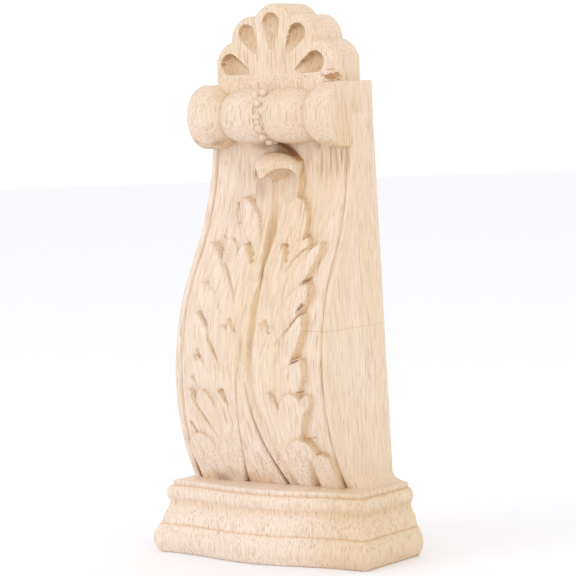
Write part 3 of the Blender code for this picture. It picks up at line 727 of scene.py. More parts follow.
@dataclass
class CarvedBody:
    """The block with its border, leaf and flat sides, as one closed skin."""

    block: Block = field(default_factory=Block)
    leaf: AcanthusLeaf = field(default_factory=AcanthusLeaf)
    marks: BodyMarks = field(default_factory=BodyMarks)
    step: float = 0.285
    # Columns from the edge inwards that follow the arris and the border groove
    border_columns: tuple[float, ...] = (0.0, 0.18, 0.4, 1.0, 1.5, 1.8, 2.1, 2.4, 2.7)
    border_span: float = 3.1
    spacing_height: float = 60.0
    flank_shares: tuple[float, ...] = (0.012, 0.03, 0.1, 0.25, 0.45, 0.65, 0.85, 1.0)
    flare_share: float = 0.1
    cove_radius: float = 2.6
    cove_foot: float = 20.4
    shown_from: float = 21.0
    grain_follow: float = 0.88
    panel: Ramp = Ramp(0.3, 1.1)
    # Height, spacing and pattern of the cutter's unevenness
    uneven: tuple[tuple[float, float, int], ...] = ((0.05, 3.0, 3), (0.03, 1.1, 4))

    def across(self, half: float, count: int) -> Grid:
        """Places across the front at one height, closer together at the border."""
        edge = np.array(self.border_columns)
        inner = np.linspace(self.border_span - half, half - self.border_span, count)
        return np.concatenate((edge - half, inner, half - edge[::-1]))

    def build(self) -> Piece:
        """Make the body.

        Returns:
            The closed piece with its marks for the material.
        """
        heights = np.arange(self.block.bottom, self.block.top, self.step)
        count = int(2 * (self.block.half_width(self.spacing_height) - self.border_span) / self.step)
        x = np.array([self.across(self.block.half_width(z), count) for z in heights])
        z = np.repeat(heights[:, None], x.shape[1], axis=1)
        half = self.block.half_width(z)
        inside = self.panel.at(half - np.abs(x) - self.block.border_width)
        leaf, warmth, shadow_and_stain = self.leaf.carve(x, z)
        relief = leaf + self.block.crown * (1.0 - (x / half) ** 2)
        relief += sum(height * wander(x, z, spacing, seed) for height, spacing, seed in self.uneven)
        relief = relief * inside - self.block.border_cut(half - np.abs(x))
        front = Front(x, z, half - np.abs(x), inside, relief, self.step)
        depth = self.block.front_depth(z) + relief
        sides = self.flank(heights, depth[:, 0])
        rings = np.concatenate((np.stack((x, -depth, z), axis=-1), sides), axis=1)
        marks = {"painted_shade": self.marks.painted_shade(front, warmth * inside),
                 "shadow_and_stain": self.marks.shadow_and_stain(front, shadow_and_stain * inside),
                 "torn": self.marks.torn(front), "opened": self.marks.opened(front),
                 "follow": self.grain_follow * self.block.front_depth(z) * MM}
        blank = np.zeros(sides.shape[:2])
        marks = {key: np.concatenate((mark, blank), axis=1) for key, mark in marks.items()}
        return loft("corbel_body", rings, marks)

    def flare(self, heights: Grid) -> Grid:
        """How far the sides run out in the cove above the plinth's ledge."""
        away = self.cove_radius - np.clip(heights - self.cove_foot, 0.0, self.cove_radius)
        return self.cove_radius - np.sqrt(np.clip(self.cove_radius**2 - away**2, 0.0, None))

    def flank(self, heights: Grid, edge_depth: Grid) -> Grid:
        """Columns down the right side, across the back and up the left side of every ring.

        Args:
            heights: Height of each ring.
            edge_depth: Depth of the front's edge at each height.

        Returns:
            Points as ring, column, xyz.
        """
        tuck = np.where(heights < self.shown_from, TUCK, 0.0)
        columns = []
        for share in self.flank_shares:
            out = self.block.half_width(heights) + self.flare(heights) * smoothstep(share / self.flare_share)
            columns.append(np.stack((out, -np.maximum(edge_depth * (1.0 - share), tuck), heights), axis=-1))
        right = np.stack(columns, axis=1)
        left = right[:, ::-1] * (-1.0, 1.0, 1.0)
        return np.concatenate((right, left), axis=1)


@dataclass
class Roll:
    """The turned bar across the top: a bead ring, two bulbs and two flared bells."""

    depth: float = 13.4
    height: float = 119.8
    ring_half_width: float = 1.7
    ring_radius: float = 6.6
    bulb_centre: float = 6.6
    bulb_radius: float = 7.75
    bulb_half_length: float = 11.6
    collar_at: float = 14.0
    collar_radius: float = 6.5
    band_at: float = 18.7
    bell_radius: float = 8.7
    half_length: float = 23.19
    ring_shift: float = -0.5
    bead_radius: float = 1.02
    bead_ring_radius: float = 7.2
    bead_angles: tuple[float, ...] = (88.0, 59.0, 28.0, -1.0, -27.0, -52.0, -77.0, -101.0)
    bead_sides: tuple[int, int] = (28, 20)
    # Each bead's offset across, its sway either way and its squash, all a little uneven
    bead_offset: float = -0.15
    bead_sway: float = 0.1
    bead_squash: Triple = (1.06, 1.0, 0.94)
    bead_unlike: float = 0.05
    shift_span: float = 9.0
    end_bevel: float = 0.5
    end_drop: float = 0.35
    flare_power: float = 1.15
    # Columns on the ring, bulb, bell and band, and points round the bar
    columns: tuple[int, ...] = (7, 44, 30, 22)
    points_round: int = 130
    # Height, spacing and pattern of the turning's unevenness, and millimetres round for a degree
    uneven: tuple[float, float, int] = (0.06, 3.0, 8)
    arc: float = 0.14
    # Painted shade in the collar's crease and under the bar, and painted shadow under the left bell
    collar_warmth: float = 0.25
    collar_spread: float = 0.8
    under_warmth: float = 0.4
    under: Ramp = Ramp(-0.8, -1.0)
    under_left: tuple[Ramp, Ramp] = (Ramp(-0.72, -0.92), Ramp(-13.0, -15.0))
    under_left_shadow: float = 0.3
    torn: Ramp = Ramp(0.45, 0.75)
    opened: Ramp = Ramp(0.6, 0.4)
    mark_strength: float = 0.8

    def radius(self, out: Grid) -> Grid:
        """Turned radius at a distance from the centre line."""
        bulb = self.bulb_radius * np.sqrt(
            np.clip(1.0 - ((out - self.bulb_centre) / self.bulb_half_length) ** 2, 0.01, 1.0))
        share = np.clip((out - self.collar_at) / (self.band_at - self.collar_at), 0.0, 1.0)
        swell = np.sin(share * np.pi / 2) ** self.flare_power
        flare = self.collar_radius + (self.bell_radius - self.collar_radius) * swell
        radius = np.where(out < self.ring_half_width, self.ring_radius, bulb)
        radius = np.where(out >= self.collar_at, flare, radius)
        corner = np.clip((out - self.half_length + self.end_bevel) / self.end_bevel, 0.0, 1.0)
        return radius - self.end_drop * corner**2

    def build_bar(self) -> Piece:
        """Make the bar with the straight slab behind it.

        Returns:
            The closed piece.
        """
        starts = (0.0, self.ring_half_width + 0.06, self.collar_at + 0.06, self.band_at + 0.1)
        ends = (self.ring_half_width, self.collar_at, self.band_at, self.half_length)
        half = np.unique(np.concatenate([np.linspace(*part) for part in zip(starts, ends, self.columns)]))
        stations = np.concatenate((-half[:0:-1], half))
        turn = np.radians(np.linspace(90.0, 270.0, self.points_round))
        turned = self.radius(np.abs(stations))
        across, degrees = np.meshgrid(stations, np.degrees(turn), indexing="ij")
        height, spacing, seed = self.uneven
        radius = turned[:, None] + height * wander(across, degrees * self.arc, spacing, seed)
        shifted = stations + self.ring_shift * smoothstep(1.0 - np.abs(stations) / self.shift_span)
        x = np.repeat(shifted[:, None], len(turn), axis=1)
        y = -self.depth + radius * np.cos(turn)
        z = self.height + radius * np.sin(turn)
        back = np.full(stations.shape, -TUCK)
        top, bottom = (np.stack((shifted, back, self.height + side * turned), axis=-1)[:, None]
                       for side in (1, -1))
        rings = np.concatenate((top, np.stack((x, y, z), axis=-1), bottom), axis=1)
        return loft("turned_roll", rings, self.bar_marks(rings))

    def bar_marks(self, rings: Grid) -> dict[str, Grid]:
        """Where the bar gets painted shade and painted shadow, and where it is torn or open.

        Args:
            rings: The bar's points.

        Returns:
            The marks by name.
        """
        x, y, z = np.moveaxis(rings, -1, 0)
        lift = (z - self.height) / self.bulb_radius
        collar = self.collar_warmth * np.exp(-((np.abs(x) - self.collar_at) / self.collar_spread) ** 2)
        turned = Ramp(self.band_at - 1.0, self.band_at - 2.0).at(np.abs(x))
        low, leftward = self.under_left
        left_underside_shade = low.at(lift) * leftward.at(x) * smoothstep(0.5 + wander(x, y, 1.6, 61))
        bands = self.mark_strength * self.opened.at(np.abs(lift))
        return {"painted_shade": np.maximum(collar, self.under_warmth * self.under.at(lift)),
                "torn": self.mark_strength * self.torn.at(np.abs(lift)) * turned,
                "opened": np.maximum(bands, 0.5 * (1.0 - turned)), "shadow_and_stain": self.under_left_shadow * left_underside_shade}

    def build_beads(self) -> Piece:
        """Make the string of carved beads that wraps the ring.

        Returns:
            One piece that holds every bead.
        """
        shape = bmesh.new()
        for index, degrees in enumerate(self.bead_angles):
            turn = math.radians(degrees)
            x = self.ring_shift + self.bead_offset + self.bead_sway * math.sin(index * 2.1)
            y = -self.depth - self.bead_ring_radius * math.cos(turn)
            z = self.height + self.bead_ring_radius * math.sin(turn) - MOUNT_HEIGHT
            wide, deep, tall = self.bead_squash
            squash = Matrix.Diagonal((wide, deep, tall + self.bead_unlike * math.sin(index * 3.7), 1.0))
            placed = Matrix.Translation(Vector((x, y, z)) * MM) @ Matrix.Rotation(turn, 4, "X") @ squash
            sides, rows = self.bead_sides
            bmesh.ops.create_uvsphere(shape, u_segments=sides, v_segments=rows,
                                      radius=self.bead_radius * MM, matrix=placed)
        mesh = bpy.data.meshes.new("bead_string")
        shape.to_mesh(mesh)
        shape.free()
        return finished_object("bead_string", mesh)


@dataclass(frozen=True)
class Flute:
    """A teardrop gouge in the shell: its lean from upright, its start and end, and its radius."""

    lean: float
    tip: float
    end: float
    radius: float = 2.9
    taper: float = 0.65

    def depth(self, out: Grid, angle: Grid) -> Grid:
        """Depth of the gouge at points given by distance and angle about the hub."""
        along = out * np.cos(angle - math.radians(self.lean))
        sideways = out * np.sin(angle - math.radians(self.lean))
        shoulder = self.end - self.radius
        share = np.clip((along - self.tip) / (shoulder - self.tip), 0.0, 1.0)
        radius = self.radius * share**self.taper
        past = np.clip(along - shoulder, 0.0, None)
        return np.sqrt(np.clip(radius**2 - sideways**2 - past**2, 0.0, None)) * (along > self.tip)


@dataclass
class ShellCrest:
    """The scalloped crest with a flute in each lobe."""

    hub: float = 128.9
    depth: float = 13.6
    foot: float = 121.0
    half_width: float = 19.4
    rim: float = 2.1
    # Each lobe's lean from upright, its centre's distance from the hub and its radius
    lobes: tuple[Triple, ...] = ((0.0, 14.5, 6.6), (33.5, 13.8, 6.4), (71.0, 13.2, 7.0))
    flutes: tuple[Flute, ...] = (
        Flute(0.0, 8.0, 18.5, 2.8), Flute(33.5, 8.7, 18.0, 2.6), Flute(-32.0, 8.7, 18.0, 2.6),
        Flute(70.5, 8.1, 17.8), Flute(-70.5, 8.1, 17.8))
    flute_depth_share: float = 0.85
    spokes: int = 480
    face_rings: int = 96
    rim_rings: int = 10
    side_rings: int = 20
    cove_top: float = 131.4
    cove_height: float = 2.6
    cove_half_width: float = 18.5
    # Height, spacing and pattern of the face's unevenness
    uneven: tuple[float, float, int] = (0.05, 2.2, 11)
    # Painted shade deep in the flutes and painted shadow under their upper lips
    flute_shade_depth: float = 1.6
    overhang: Ramp = Ramp(0.0, 0.9)
    centre_half_turn: float = 15.0
    # The palest flute's lean and half turn
    pale_flute: Pair = (-32.0, 18.0)
    # Warmth of the painted shade in the centre flute, those on the left and those on the right
    flute_warmth: Triple = (0.3, 0.45, 0.6)
    # Painted shadow in the centre flute, the palest one and the others
    flute_shadow: Triple = (0.12, 0.22, 0.5)
    pale_overhang: float = 0.7
    chip: Triple = (19.0, 12.4, 129.9)
    chip_size: Triple = (2.4, 3.2, 1.5)
    chip_depth: float = 0.5
    chip_stain: float = 0.22
    foot_torn: tuple[Ramp, Ramp] = (Ramp(132.0, 129.0), Ramp(14.0, 10.0))
    foot_torn_strength: float = 0.8
    front_face: float = -9.0
    opened: float = 0.75

    def reach(self, angle: Grid) -> Grid:
        """Distance from the hub to the outline in each direction."""
        turn = np.abs(angle)
        best = np.zeros(angle.shape)
        for lean, out, radius in self.lobes:
            swing = turn - math.radians(lean)
            under = radius**2 - (out * np.sin(swing)) ** 2
            hit = out * np.cos(swing) + np.sqrt(np.clip(under, 0.0, None))
            best = np.maximum(best, np.where((under > 0.0) & (np.cos(swing) > 0.0), hit, 0.0))
        side = self.half_width / np.maximum(np.sin(turn), 1e-6)
        drop = (self.hub - self.foot) / np.maximum(-np.cos(turn), 1e-6)
        lower = turn > math.radians(self.lobes[-1][0])
        best = np.where(lower, np.minimum(side, drop), np.minimum(best, side))
        return best

    def build(self) -> Piece:
        """Make the crest as a closed skin about its hub.

        Returns:
            The closed piece with its marks for the material.
        """
        angle = np.radians(np.linspace(-180.0, 180.0, self.spokes, endpoint=False))
        reach = self.reach(angle)
        face = np.linspace(0.02, 1.0, self.face_rings)[:, None] * (reach - self.rim)[None]
        spin = np.repeat(angle[None], len(face), axis=0)
        cut = np.zeros(face.shape)
        for flute in self.flutes:
            cut = np.maximum(cut, flute.depth(face, spin) * self.flute_depth_share)
        z = self.hub + face * np.cos(spin)
        x = face * np.sin(spin)
        cove = np.clip(self.cove_top - z, 0.0, self.cove_height) ** 2 / (2.0 * self.cove_height)
        height, spacing, seed = self.uneven
        cove = cove * (np.abs(x) < self.cove_half_width)
        front = self.depth + cove + height * wander(x, z, spacing, seed) - cut
        rings = [np.stack((x, -front, z), axis=-1)]
        for bend in np.radians(np.linspace(0.0, 90.0, self.rim_rings)[1:]):
            out = reach - self.rim * (1.0 - math.sin(bend))
            back = self.depth - self.rim * (1.0 - math.cos(bend))
            rings.append(self.outline_ring(out, angle, np.full(angle.shape, back)))
        for back in np.linspace(self.depth - self.rim - 0.4, 0.0, self.side_rings):
            rings.append(self.outline_ring(reach, angle, np.full(angle.shape, back)))
        whole = np.concatenate(rings, axis=0)
        x, y, z = np.moveaxis(whole, -1, 0)
        from_chip = [(v - c) / s for v, c, s in zip((x, -y, z), self.chip, self.chip_size)]
        ragged = np.sqrt(sum(v**2 for v in from_chip)) + 0.6 * wander(x - y, z * 1.6, 0.9, 13)
        chip = smoothstep((1.0 - ragged) * 2.0)
        upward, sideways = self.foot_torn
        torn = upward.at(z) * sideways.at(np.abs(x)) * (y < self.front_face)
        rest = np.zeros((len(whole) - len(face), len(angle)))
        painted_shade, shadow_and_stain = (np.concatenate((mark, rest)) for mark in self.flute_marks(cut, face, spin))
        whole[..., 0] -= self.chip_depth * chip
        whole[..., 1] += self.chip_depth * chip
        return loft("shell_crest", whole, {
            "painted_shade": np.maximum(painted_shade, chip), "shadow_and_stain": np.maximum(shadow_and_stain, self.chip_stain * chip),
            "torn": np.maximum(self.foot_torn_strength * torn, chip),
            "opened": np.full(x.shape, self.opened)})

    def flute_marks(self, cut: Grid, face: Grid, spin: Grid) -> tuple[Grid, Grid]:
        """Painted shade and painted shadow in the flutes, strongest under their upper lips.

        Args:
            cut: Depth of the flutes on the face.
            face: Distances from the hub.
            spin: Angles about the hub.

        Returns:
            The painted shade and the painted shadow.
        """
        radial = np.gradient(cut, axis=0) / np.gradient(face, axis=0)
        around = np.gradient(cut, axis=1) / (face * (spin[0, 1] - spin[0, 0]))
        overhang = self.overhang.at(around * np.sin(spin) - radial * np.cos(spin))
        overhang *= 0.7 + 0.3 * wander(face * np.sin(spin), self.hub + face * np.cos(spin), 0.9, 12)
        lean, half_turn = (math.radians(value) for value in self.pale_flute)
        centred, pale = np.abs(spin) < math.radians(self.centre_half_turn), np.abs(spin - lean) < half_turn
        centre, left, right = self.flute_warmth
        warmth = np.where(centred, centre, np.where(spin < 0.0, left, right))
        deep = np.clip(cut / self.flute_shade_depth, 0.0, 1.0) * warmth
        centre, palest, other = self.flute_shadow
        shadow_and_stain = overhang * np.where(centred, centre, np.where(pale, palest, other))
        return np.maximum(deep, overhang * np.where(pale, self.pale_overhang, 1.0)), shadow_and_stain

    def outline_ring(self, out: Grid, angle: Grid, back: Grid) -> Grid:
        """One ring of the rim or side at a depth."""
        return np.stack((out * np.sin(angle), -back, self.hub + out * np.cos(angle)), axis=-1)[None]


@dataclass
class CurledTip:
    """The blade's tip where it rolls forward under the turned bar, scooped beneath."""

    half_width: float = 7.5
    left_share: float = 0.9
    right_share: float = 1.06
    root_depth: float = 8.0
    reach: float = 20.7
    taper: float = 7.1
    nose_round: float = 1.2
    top: float = 110.3
    top_fall: float = 2.4
    lip: float = 0.32
    # Heights of the lip's lower edge and of the seat under it, by distance from the centre line
    lip_heights: tuple[Pair, ...] = (
        (0.0, 102.9), (0.8, 103.3), (2.0, 104.7), (3.2, 105.4), (5.0, 105.6), (6.3, 105.0), (7.0, 103.8),
        (7.5, 102.2))
    seat_heights: tuple[Pair, ...] = (
        (0.0, 101.4), (1.6, 101.4), (3.0, 102.8), (4.2, 104.0), (5.5, 104.5), (6.6, 104.0), (7.5, 102.6))
    seat_depth: float = 12.2
    seat_drop: float = 0.5
    sections: int = 121
    outer_points: int = 26
    lip_points: int = 6
    under_shares: tuple[float, ...] = (0.15, 0.32, 0.5, 0.68, 0.84, 1.0)
    under_arch: float = 0.5
    # How square the outer curve is, in depth and in height
    outer_powers: Pair = (0.9, 0.8)
    closed_left: Ramp = Ramp(-3.4, -5.0)
    # Painted shadow behind the curl at its root, weaker on the right, and painted shade with a little painted
    # shadow under the lip
    root: tuple[Ramp, Ramp] = (Ramp(-14.4, -12.6), Ramp(106.6, 108.0))
    root_shadowed: Ramp = Ramp(-2.5, 1.0)
    root_shadow: float = 0.66
    root_right: Ramp = Ramp(4.8, 6.8)
    root_right_loss: float = 0.45
    under_warmth: float = 0.3
    under_shadow: float = 0.09
    under_from: float = -4.2

    def build(self) -> Piece:
        """Make the curl from sections across it.

        Returns:
            The closed piece with painted shadow behind its root and painted shade under its lip.
        """
        share = np.sin(np.linspace(-1.0, 1.0, self.sections) * np.pi / 2)
        rings = np.array([self.section(self.half_width * s) for s in share])
        x, y, z = np.moveaxis(rings, -1, 0)
        backward, upward = self.root
        behind = backward.at(y) * upward.at(z)
        shadow_and_stain = self.root_shadow * behind * self.root_shadowed.at(x)
        shadow_and_stain *= 1.0 - self.root_right_loss * self.root_right.at(x)
        under = (np.arange(rings.shape[1]) > self.outer_points) * (x > self.under_from)
        return loft("curled_tip", rings, {"shadow_and_stain": np.maximum(shadow_and_stain, self.under_shadow * under),
                                          "painted_shade": np.maximum(self.under_warmth * under, behind)})

    def section(self, x: float) -> Grid:
        """Outline of the curl at one place across it.

        Args:
            x: Distance from the centre line.

        Returns:
            Points from the root over the top, round the lip and back along the underside.
        """
        out = abs(x)
        rounded = math.hypot(out, self.nose_round) - self.nose_round
        reach = self.reach - self.taper * rounded / (self.half_width - self.nose_round / 2)
        top = self.top - self.top_fall * (out / self.half_width) ** 2
        edge = np.interp(out, *np.array(self.lip_heights).T)
        seat = np.interp(out, *np.array(self.seat_heights).T)
        closed = self.closed_left.at(x)
        seat = seat + (edge - seat) * closed
        points = []
        middle = edge + self.lip
        forward, upward = self.outer_powers
        for turn in np.radians(np.linspace(0.0, 90.0, self.outer_points)):
            points.append((self.root_depth + (reach - self.root_depth) * math.sin(turn) ** forward,
                           middle + (top - middle) * math.cos(turn) ** upward))
        for turn in np.radians(np.linspace(30.0, 180.0, self.lip_points)):
            points.append((reach - self.lip + self.lip * math.cos(turn), middle - self.lip * math.sin(turn)))
        inner_depth, inner_height = points[-1]
        for along in self.under_shares:
            arch = self.under_arch * (1.0 - closed) * math.sin(math.pi * along**0.7)
            points.append((inner_depth + (self.seat_depth - inner_depth) * along,
                           inner_height + (seat - inner_height) * along**1.6 + arch))
        points.append((self.root_depth, seat - self.seat_drop))
        across = x * (self.left_share if x < 0.0 else self.right_share)
        return np.array([(across, -depth, height) for depth, height in points])


@dataclass
class Plinth:
    """The moulded foot: two rounds, two fillets and a scotia, on a plan with a bowed front."""

    half_width: float = 31.2
    corner_depth: float = 23.4
    bow: float = 4.2
    bow_half_width: float = 29.0
    # Offsets out from the plan, then heights
    lower_round: tuple[float, ...] = (3.0, 4.34, 0.0, 7.9)
    lower_fillet: tuple[float, ...] = (2.7, 2.0, 7.9, 10.7)
    scotia: Triple = (0.7, 10.7, 14.3)
    upper_round: tuple[float, ...] = (0.7, 1.45, 14.3, 18.35)
    upper_fillet: Pair = (18.35, 19.8)
    ledge: Pair = (-4.6, 20.7)
    foot_bevel: float = 0.25
    arris: float = 0.2
    front_points: int = 190
    side_points: int = 20
    # Height, spacing and pattern of the front's unevenness, and how far in it is set
    uneven: tuple[float, float, int] = (0.05, 4.0, 21)
    set_in: float = 0.13
    # Painted shade in the moulding's recesses: warmth, height and spread of each
    recesses: tuple[Triple, ...] = ((0.35, 13.9, 1.1), (0.5, 7.95, 0.3), (0.4, 18.3, 0.25))
    torn_strength: float = 0.4
    torn: Ramp = Ramp(24.0, 30.0)
    opened_strength: float = 0.8
    opened: Ramp = Ramp(5.0, 17.0)

    def profile(self) -> Grid:
        """The moulding as outward offsets and heights, from the underside up."""
        points = []
        start, swell_out, low, high = self.lower_round
        for turn in np.linspace(0.0, np.pi, 26):
            offset = start + (swell_out - start) * math.sin(turn) - self.foot_bevel * (turn == 0.0)
            points.append((offset, low + (high - low) * turn / np.pi))
        foot, head, low, high = self.lower_fillet
        low += 0.05
        points += [(foot + (head - foot) * s, low + (high - low) * s) for s in np.linspace(0.0, 1.0, 7)]
        innermost, low, high = self.scotia
        for share in np.linspace(0.08, 0.95, 14):
            offset = head + (innermost - head) * math.sin(share * math.pi / 2)
            points.append((offset, low + (high - low) * share))
        start, swell_out, low, high = self.upper_round
        for turn in np.linspace(0.0, np.pi, 18):
            points.append((start + (swell_out - start) * math.sin(turn), low + (high - low) * turn / np.pi))
        low, high = self.upper_fillet
        points += [(0.0, low + 0.05), (0.0, (low + high) / 2), (0.0, high - self.arris),
                   (-0.3 * self.arris, high - 0.3 * self.arris), (-self.arris, high)]
        inner, top = self.ledge
        for share in np.linspace(0.1, 1.0, 10):
            points.append(((inner + self.arris) * share - self.arris, high + (top - high) * share))
        points += [(inner - 2.0, top + 0.1), (inner - 4.0, top + 0.2)]
        return np.array(points)

    def build(self) -> Piece:
        """Make the plinth, one plan ring for each point of its profile.

        Returns:
            The closed piece with its marks for the material.
        """
        profile = self.profile()
        rings = np.array([self.plan(offset, height) for offset, height in profile])
        x, y, z = np.moveaxis(rings, -1, 0)
        painted_shade = sum(warmth * np.exp(-((z - height) / spread) ** 2)
                     for warmth, height, spread in self.recesses)
        torn = self.torn_strength * self.torn.at(x) * (0.5 + 0.5 * wander(y, z, 3.0, 23))
        return loft("moulded_plinth", rings, {"painted_shade": np.clip(painted_shade, 0.0, 1.0), "torn": torn,
                                              "opened": self.opened_strength * self.opened.at(x)})

    def plan(self, offset: float, height: float) -> Grid:
        """Plan at one height: square back, mitred returns and a bowed front.

        Args:
            offset: How far the moulding stands out there.
            height: The height.

        Returns:
            Points round the plinth.
        """
        half = self.half_width + offset
        corner = self.corner_depth + offset
        x = half * np.linspace(-1.0, 1.0, self.front_points)
        bow = np.where(np.abs(x) < self.bow_half_width,
                       self.bow * np.cos(math.pi / 2 * x / self.bow_half_width) ** 2, 0.0)
        rise, spacing, seed = self.uneven
        level = np.full(x.shape, height)
        uneven = rise * wander(x, level, spacing, seed) - self.set_in
        front = np.stack((x, -(corner + bow + uneven), level), axis=-1)
        side = np.linspace(1.0, 0.0, self.side_points)[1:]
        right = np.stack((np.full(side.shape, half), -corner * side, np.full(side.shape, height)), axis=-1)
        return np.concatenate((front, right, right[::-1] * (-1.0, 1.0, 1.0)))


def linear(hex_colour: str) -> tuple[float, float, float, float]:
    """An sRGB hex colour as the linear values that shaders take."""
    channels = [int(hex_colour[i:i + 2], 16) / 255.0 for i in (1, 3, 5)]
    return tuple(c / 12.92 if c <= 0.04045 else ((c + 0.055) / 1.055) ** 2.4 for c in channels) + (1.0,)


def add_node(tree: Tree, kind: str, settings: dict, inputs: dict, output: int | str = 0) -> Socket:
    """Add a shader node.

    Args:
        tree: The material's node tree.
        kind: Blender's name for the node's type, after ShaderNode.
        settings: Values for the node's own properties.
        inputs: Values or output sockets for its inputs, by name or number.
        output: Which of its outputs to hand back.

    Returns:
        The output's socket.
    """
    node = tree.nodes.new("ShaderNode" + kind)
    for key, value in settings.items():
        setattr(node, key, value)
    for key, value in inputs.items():
        if isinstance(value, Socket):
            tree.links.new(value, node.inputs[key])
        else:
            node.inputs[key].default_value = value
    return node.outputs[output]


def per_unit(size: Triple) -> Triple:
    """Scale that turns metres into units of a pattern with this size in millimetres."""
    return tuple(1.0 / (length * MM) for length in size)


@dataclass(frozen=True)
class Rubberwood:
    """Unfinished rubberwood, machine-carved and sanded: pale, open-pored and close to matt."""

    cream: str = "#EEDBC9"
    honey: str = "#EAD4B8"
    # The lower board is rosy and pale at the front and straw-coloured on the right side; the left side below
    # the roll takes the same pale tint as painted light
    rosy: str = "#F2E1D1"
    straw: str = "#E4CEB0"
    # Painted shade: warm tan multiplied in where the marks put shade in hollows, creases, on walls and under
    # overhangs
    painted_shade: str = "#EAD3AC"
    fibre: str = "#CDAF92"
    streak: str = "#B08C6E"
    pore: str = "#97694A"
    # Dark tint multiplied in: painted shadow in deep cuts, recesses and under overhangs, plus the chip's
    # stains and the streaky hatching under the roll
    shadow_and_stain: str = "#764A33"
    roughness: float = 0.57
    rougher_fibre: float = 0.2
    ior: float = 1.5
    # Slow changes of tone run up the boards
    tone_size: Triple = (9.0, 9.0, 70.0)
    tone_range: Pair = (0.38, 0.62)
    fibre_size: Triple = (0.42, 0.42, 7.0)
    fibre_range: Pair = (0.4, 0.75)
    fibre_share: float = 0.58
    fibre_detail: float = 3.0
    # A vessel is about 0.2 mm across; it is drawn 0.3 mm wide, the finest line that shows
    streak_spacing: Triple = (0.75, 0.75, 12.0)
    streak_edge: Pair = (0.38, 0.12)
    streak_share: float = 0.62
    crowd_size: Triple = (6.0, 6.0, 26.0)
    crowd_range: Pair = (0.35, 0.68)
    crowd_shares: Pair = (0.1, 0.85)
    pore_spacing: Triple = (0.55, 0.55, 8.0)
    pore_edge: Pair = (0.27, 0.1)
    pore_chance: float = 0.3
    pore_share: float = 0.55
    pore_depth: float = -1.5
    torn_spacing: Triple = (0.7, 0.7, 0.85)
    torn_edge: Pair = (0.55, 0.1)
    torn_share: float = 0.45
    # The grain wanders sideways, by metres and by turns to the metre
    grain_wander: Triple = (0.0022, 0.0022, 0.0)
    wander_scale: float = 60.0
    board_joint: float = 63.0
    board_start: float = 17.4
    joint_half_width: float = 0.16
    joint_strength: float = 0.4
    pale_heights: Pair = (50.0, 10.0)
    # Painted light: the left side is tinted paler, up to below the roll
    painted_light_places: Pair = (-9.0, -23.0)
    painted_light_share: float = 0.85
    painted_light_below: float = 112.5
    straw_places: Pair = (12.0, 25.0)
    relief: float = 0.00008
    relief_strength: float = 0.5

    def build(self) -> bpy.types.Material:
        """Make the material.

        Returns:
            The material, patterned in the wood's own space so that its streaks run up the grain.
        """
        material = bpy.data.materials.new("rubberwood")
        material.use_nodes = True
        tree = material.node_tree
        shader = tree.nodes["Principled BSDF"]
        shader.inputs["IOR"].default_value = self.ior
        marks = {name: add_node(tree, "Attribute", {"attribute_name": name}, {}, "Fac")
                 for name in ("painted_shade", "shadow_and_stain", "torn", "opened", "follow")}
        place = add_node(tree, "TexCoord", {}, {}, "Object")
        drift = add_node(tree, "TexNoise", {}, {"Vector": place, "Scale": self.wander_scale}, "Color")
        shift = add_node(tree, "CombineXYZ", {}, {"Y": marks["follow"]})
        laid = add_node(tree, "VectorMath", {"operation": "ADD"}, {0: place, 1: shift})
        bent = add_node(tree, "VectorMath", {"operation": "MULTIPLY_ADD"},
                        {0: drift, 1: self.grain_wander, 2: laid})
        fibres = self.pattern(tree, "TexNoise", bent, self.fibre_size, self.fibre_range,
                              (0.0, self.fibre_share), self.fibre_detail)
        dots = self.pattern(tree, "TexVoronoi", place, self.torn_spacing, self.torn_edge,
                            (0.0, self.torn_share))
        torn = add_node(tree, "Math", {"operation": "MULTIPLY"}, {0: dots, 1: marks["torn"]})
        pores = self.pores(tree, bent)
        colour = self.boards(tree, place, bent)
        # The last two mixes multiply in the painted shade, then the painted shadow together with the chip's
        # stains
        for tint, share, blend in (
                (self.fibre, fibres, "MIX"), (self.streak, self.streaks(tree, bent, marks["opened"]), "MIX"),
                (self.pore, pores, "MIX"), (self.streak, torn, "MIX"),
                (self.painted_shade, marks["painted_shade"], "MULTIPLY"), (self.shadow_and_stain, marks["shadow_and_stain"], "MULTIPLY")):
            colour = add_node(tree, "Mix", {"data_type": "RGBA", "blend_type": blend},
                              {0: share, 6: colour, 7: linear(tint)}, 2)
        rough = add_node(tree, "Math", {"operation": "MULTIPLY_ADD"},
                         {0: fibres, 1: self.rougher_fibre, 2: self.roughness})
        height = add_node(tree, "Math", {"operation": "MULTIPLY_ADD"},
                          {0: pores, 1: self.pore_depth, 2: fibres})
        bump = add_node(tree, "Bump", {}, {"Strength": self.relief_strength, "Distance": self.relief,
                                           "Height": height}, "Normal")
        for key, value in (("Base Color", colour), ("Roughness", rough), ("Normal", bump)):
            tree.links.new(value, shader.inputs[key])
        return material

    def pattern(self, tree: Tree, kind: str, place: Socket, size: Triple, span: Pair, share: Pair,
                detail: float = 2.0) -> Socket:
        """A pattern laid out at its real size and made into a share of the colour.

        Args:
            tree: The material's node tree.
            kind: The texture's node type.
            place: Position in metres.
            size: How far apart the fibres or cells lie, in millimetres.
            span: The texture's values between which the share changes.
            share: The share at the first of them and at the second.
            detail: How many finer layers a noise has.

        Returns:
            The share.
        """
        vector = add_node(tree, "VectorMath", {"operation": "MULTIPLY"}, {0: place, 1: per_unit(size)})
        texture = add_node(tree, kind, {}, {"Vector": vector, "Scale": 1.0})
        if kind == "TexNoise":
            texture.node.inputs["Detail"].default_value = detail
        return add_node(tree, "MapRange", {}, {"Value": texture, "From Min": span[0], "From Max": span[1],
                                               "To Min": share[0], "To Max": share[1]})

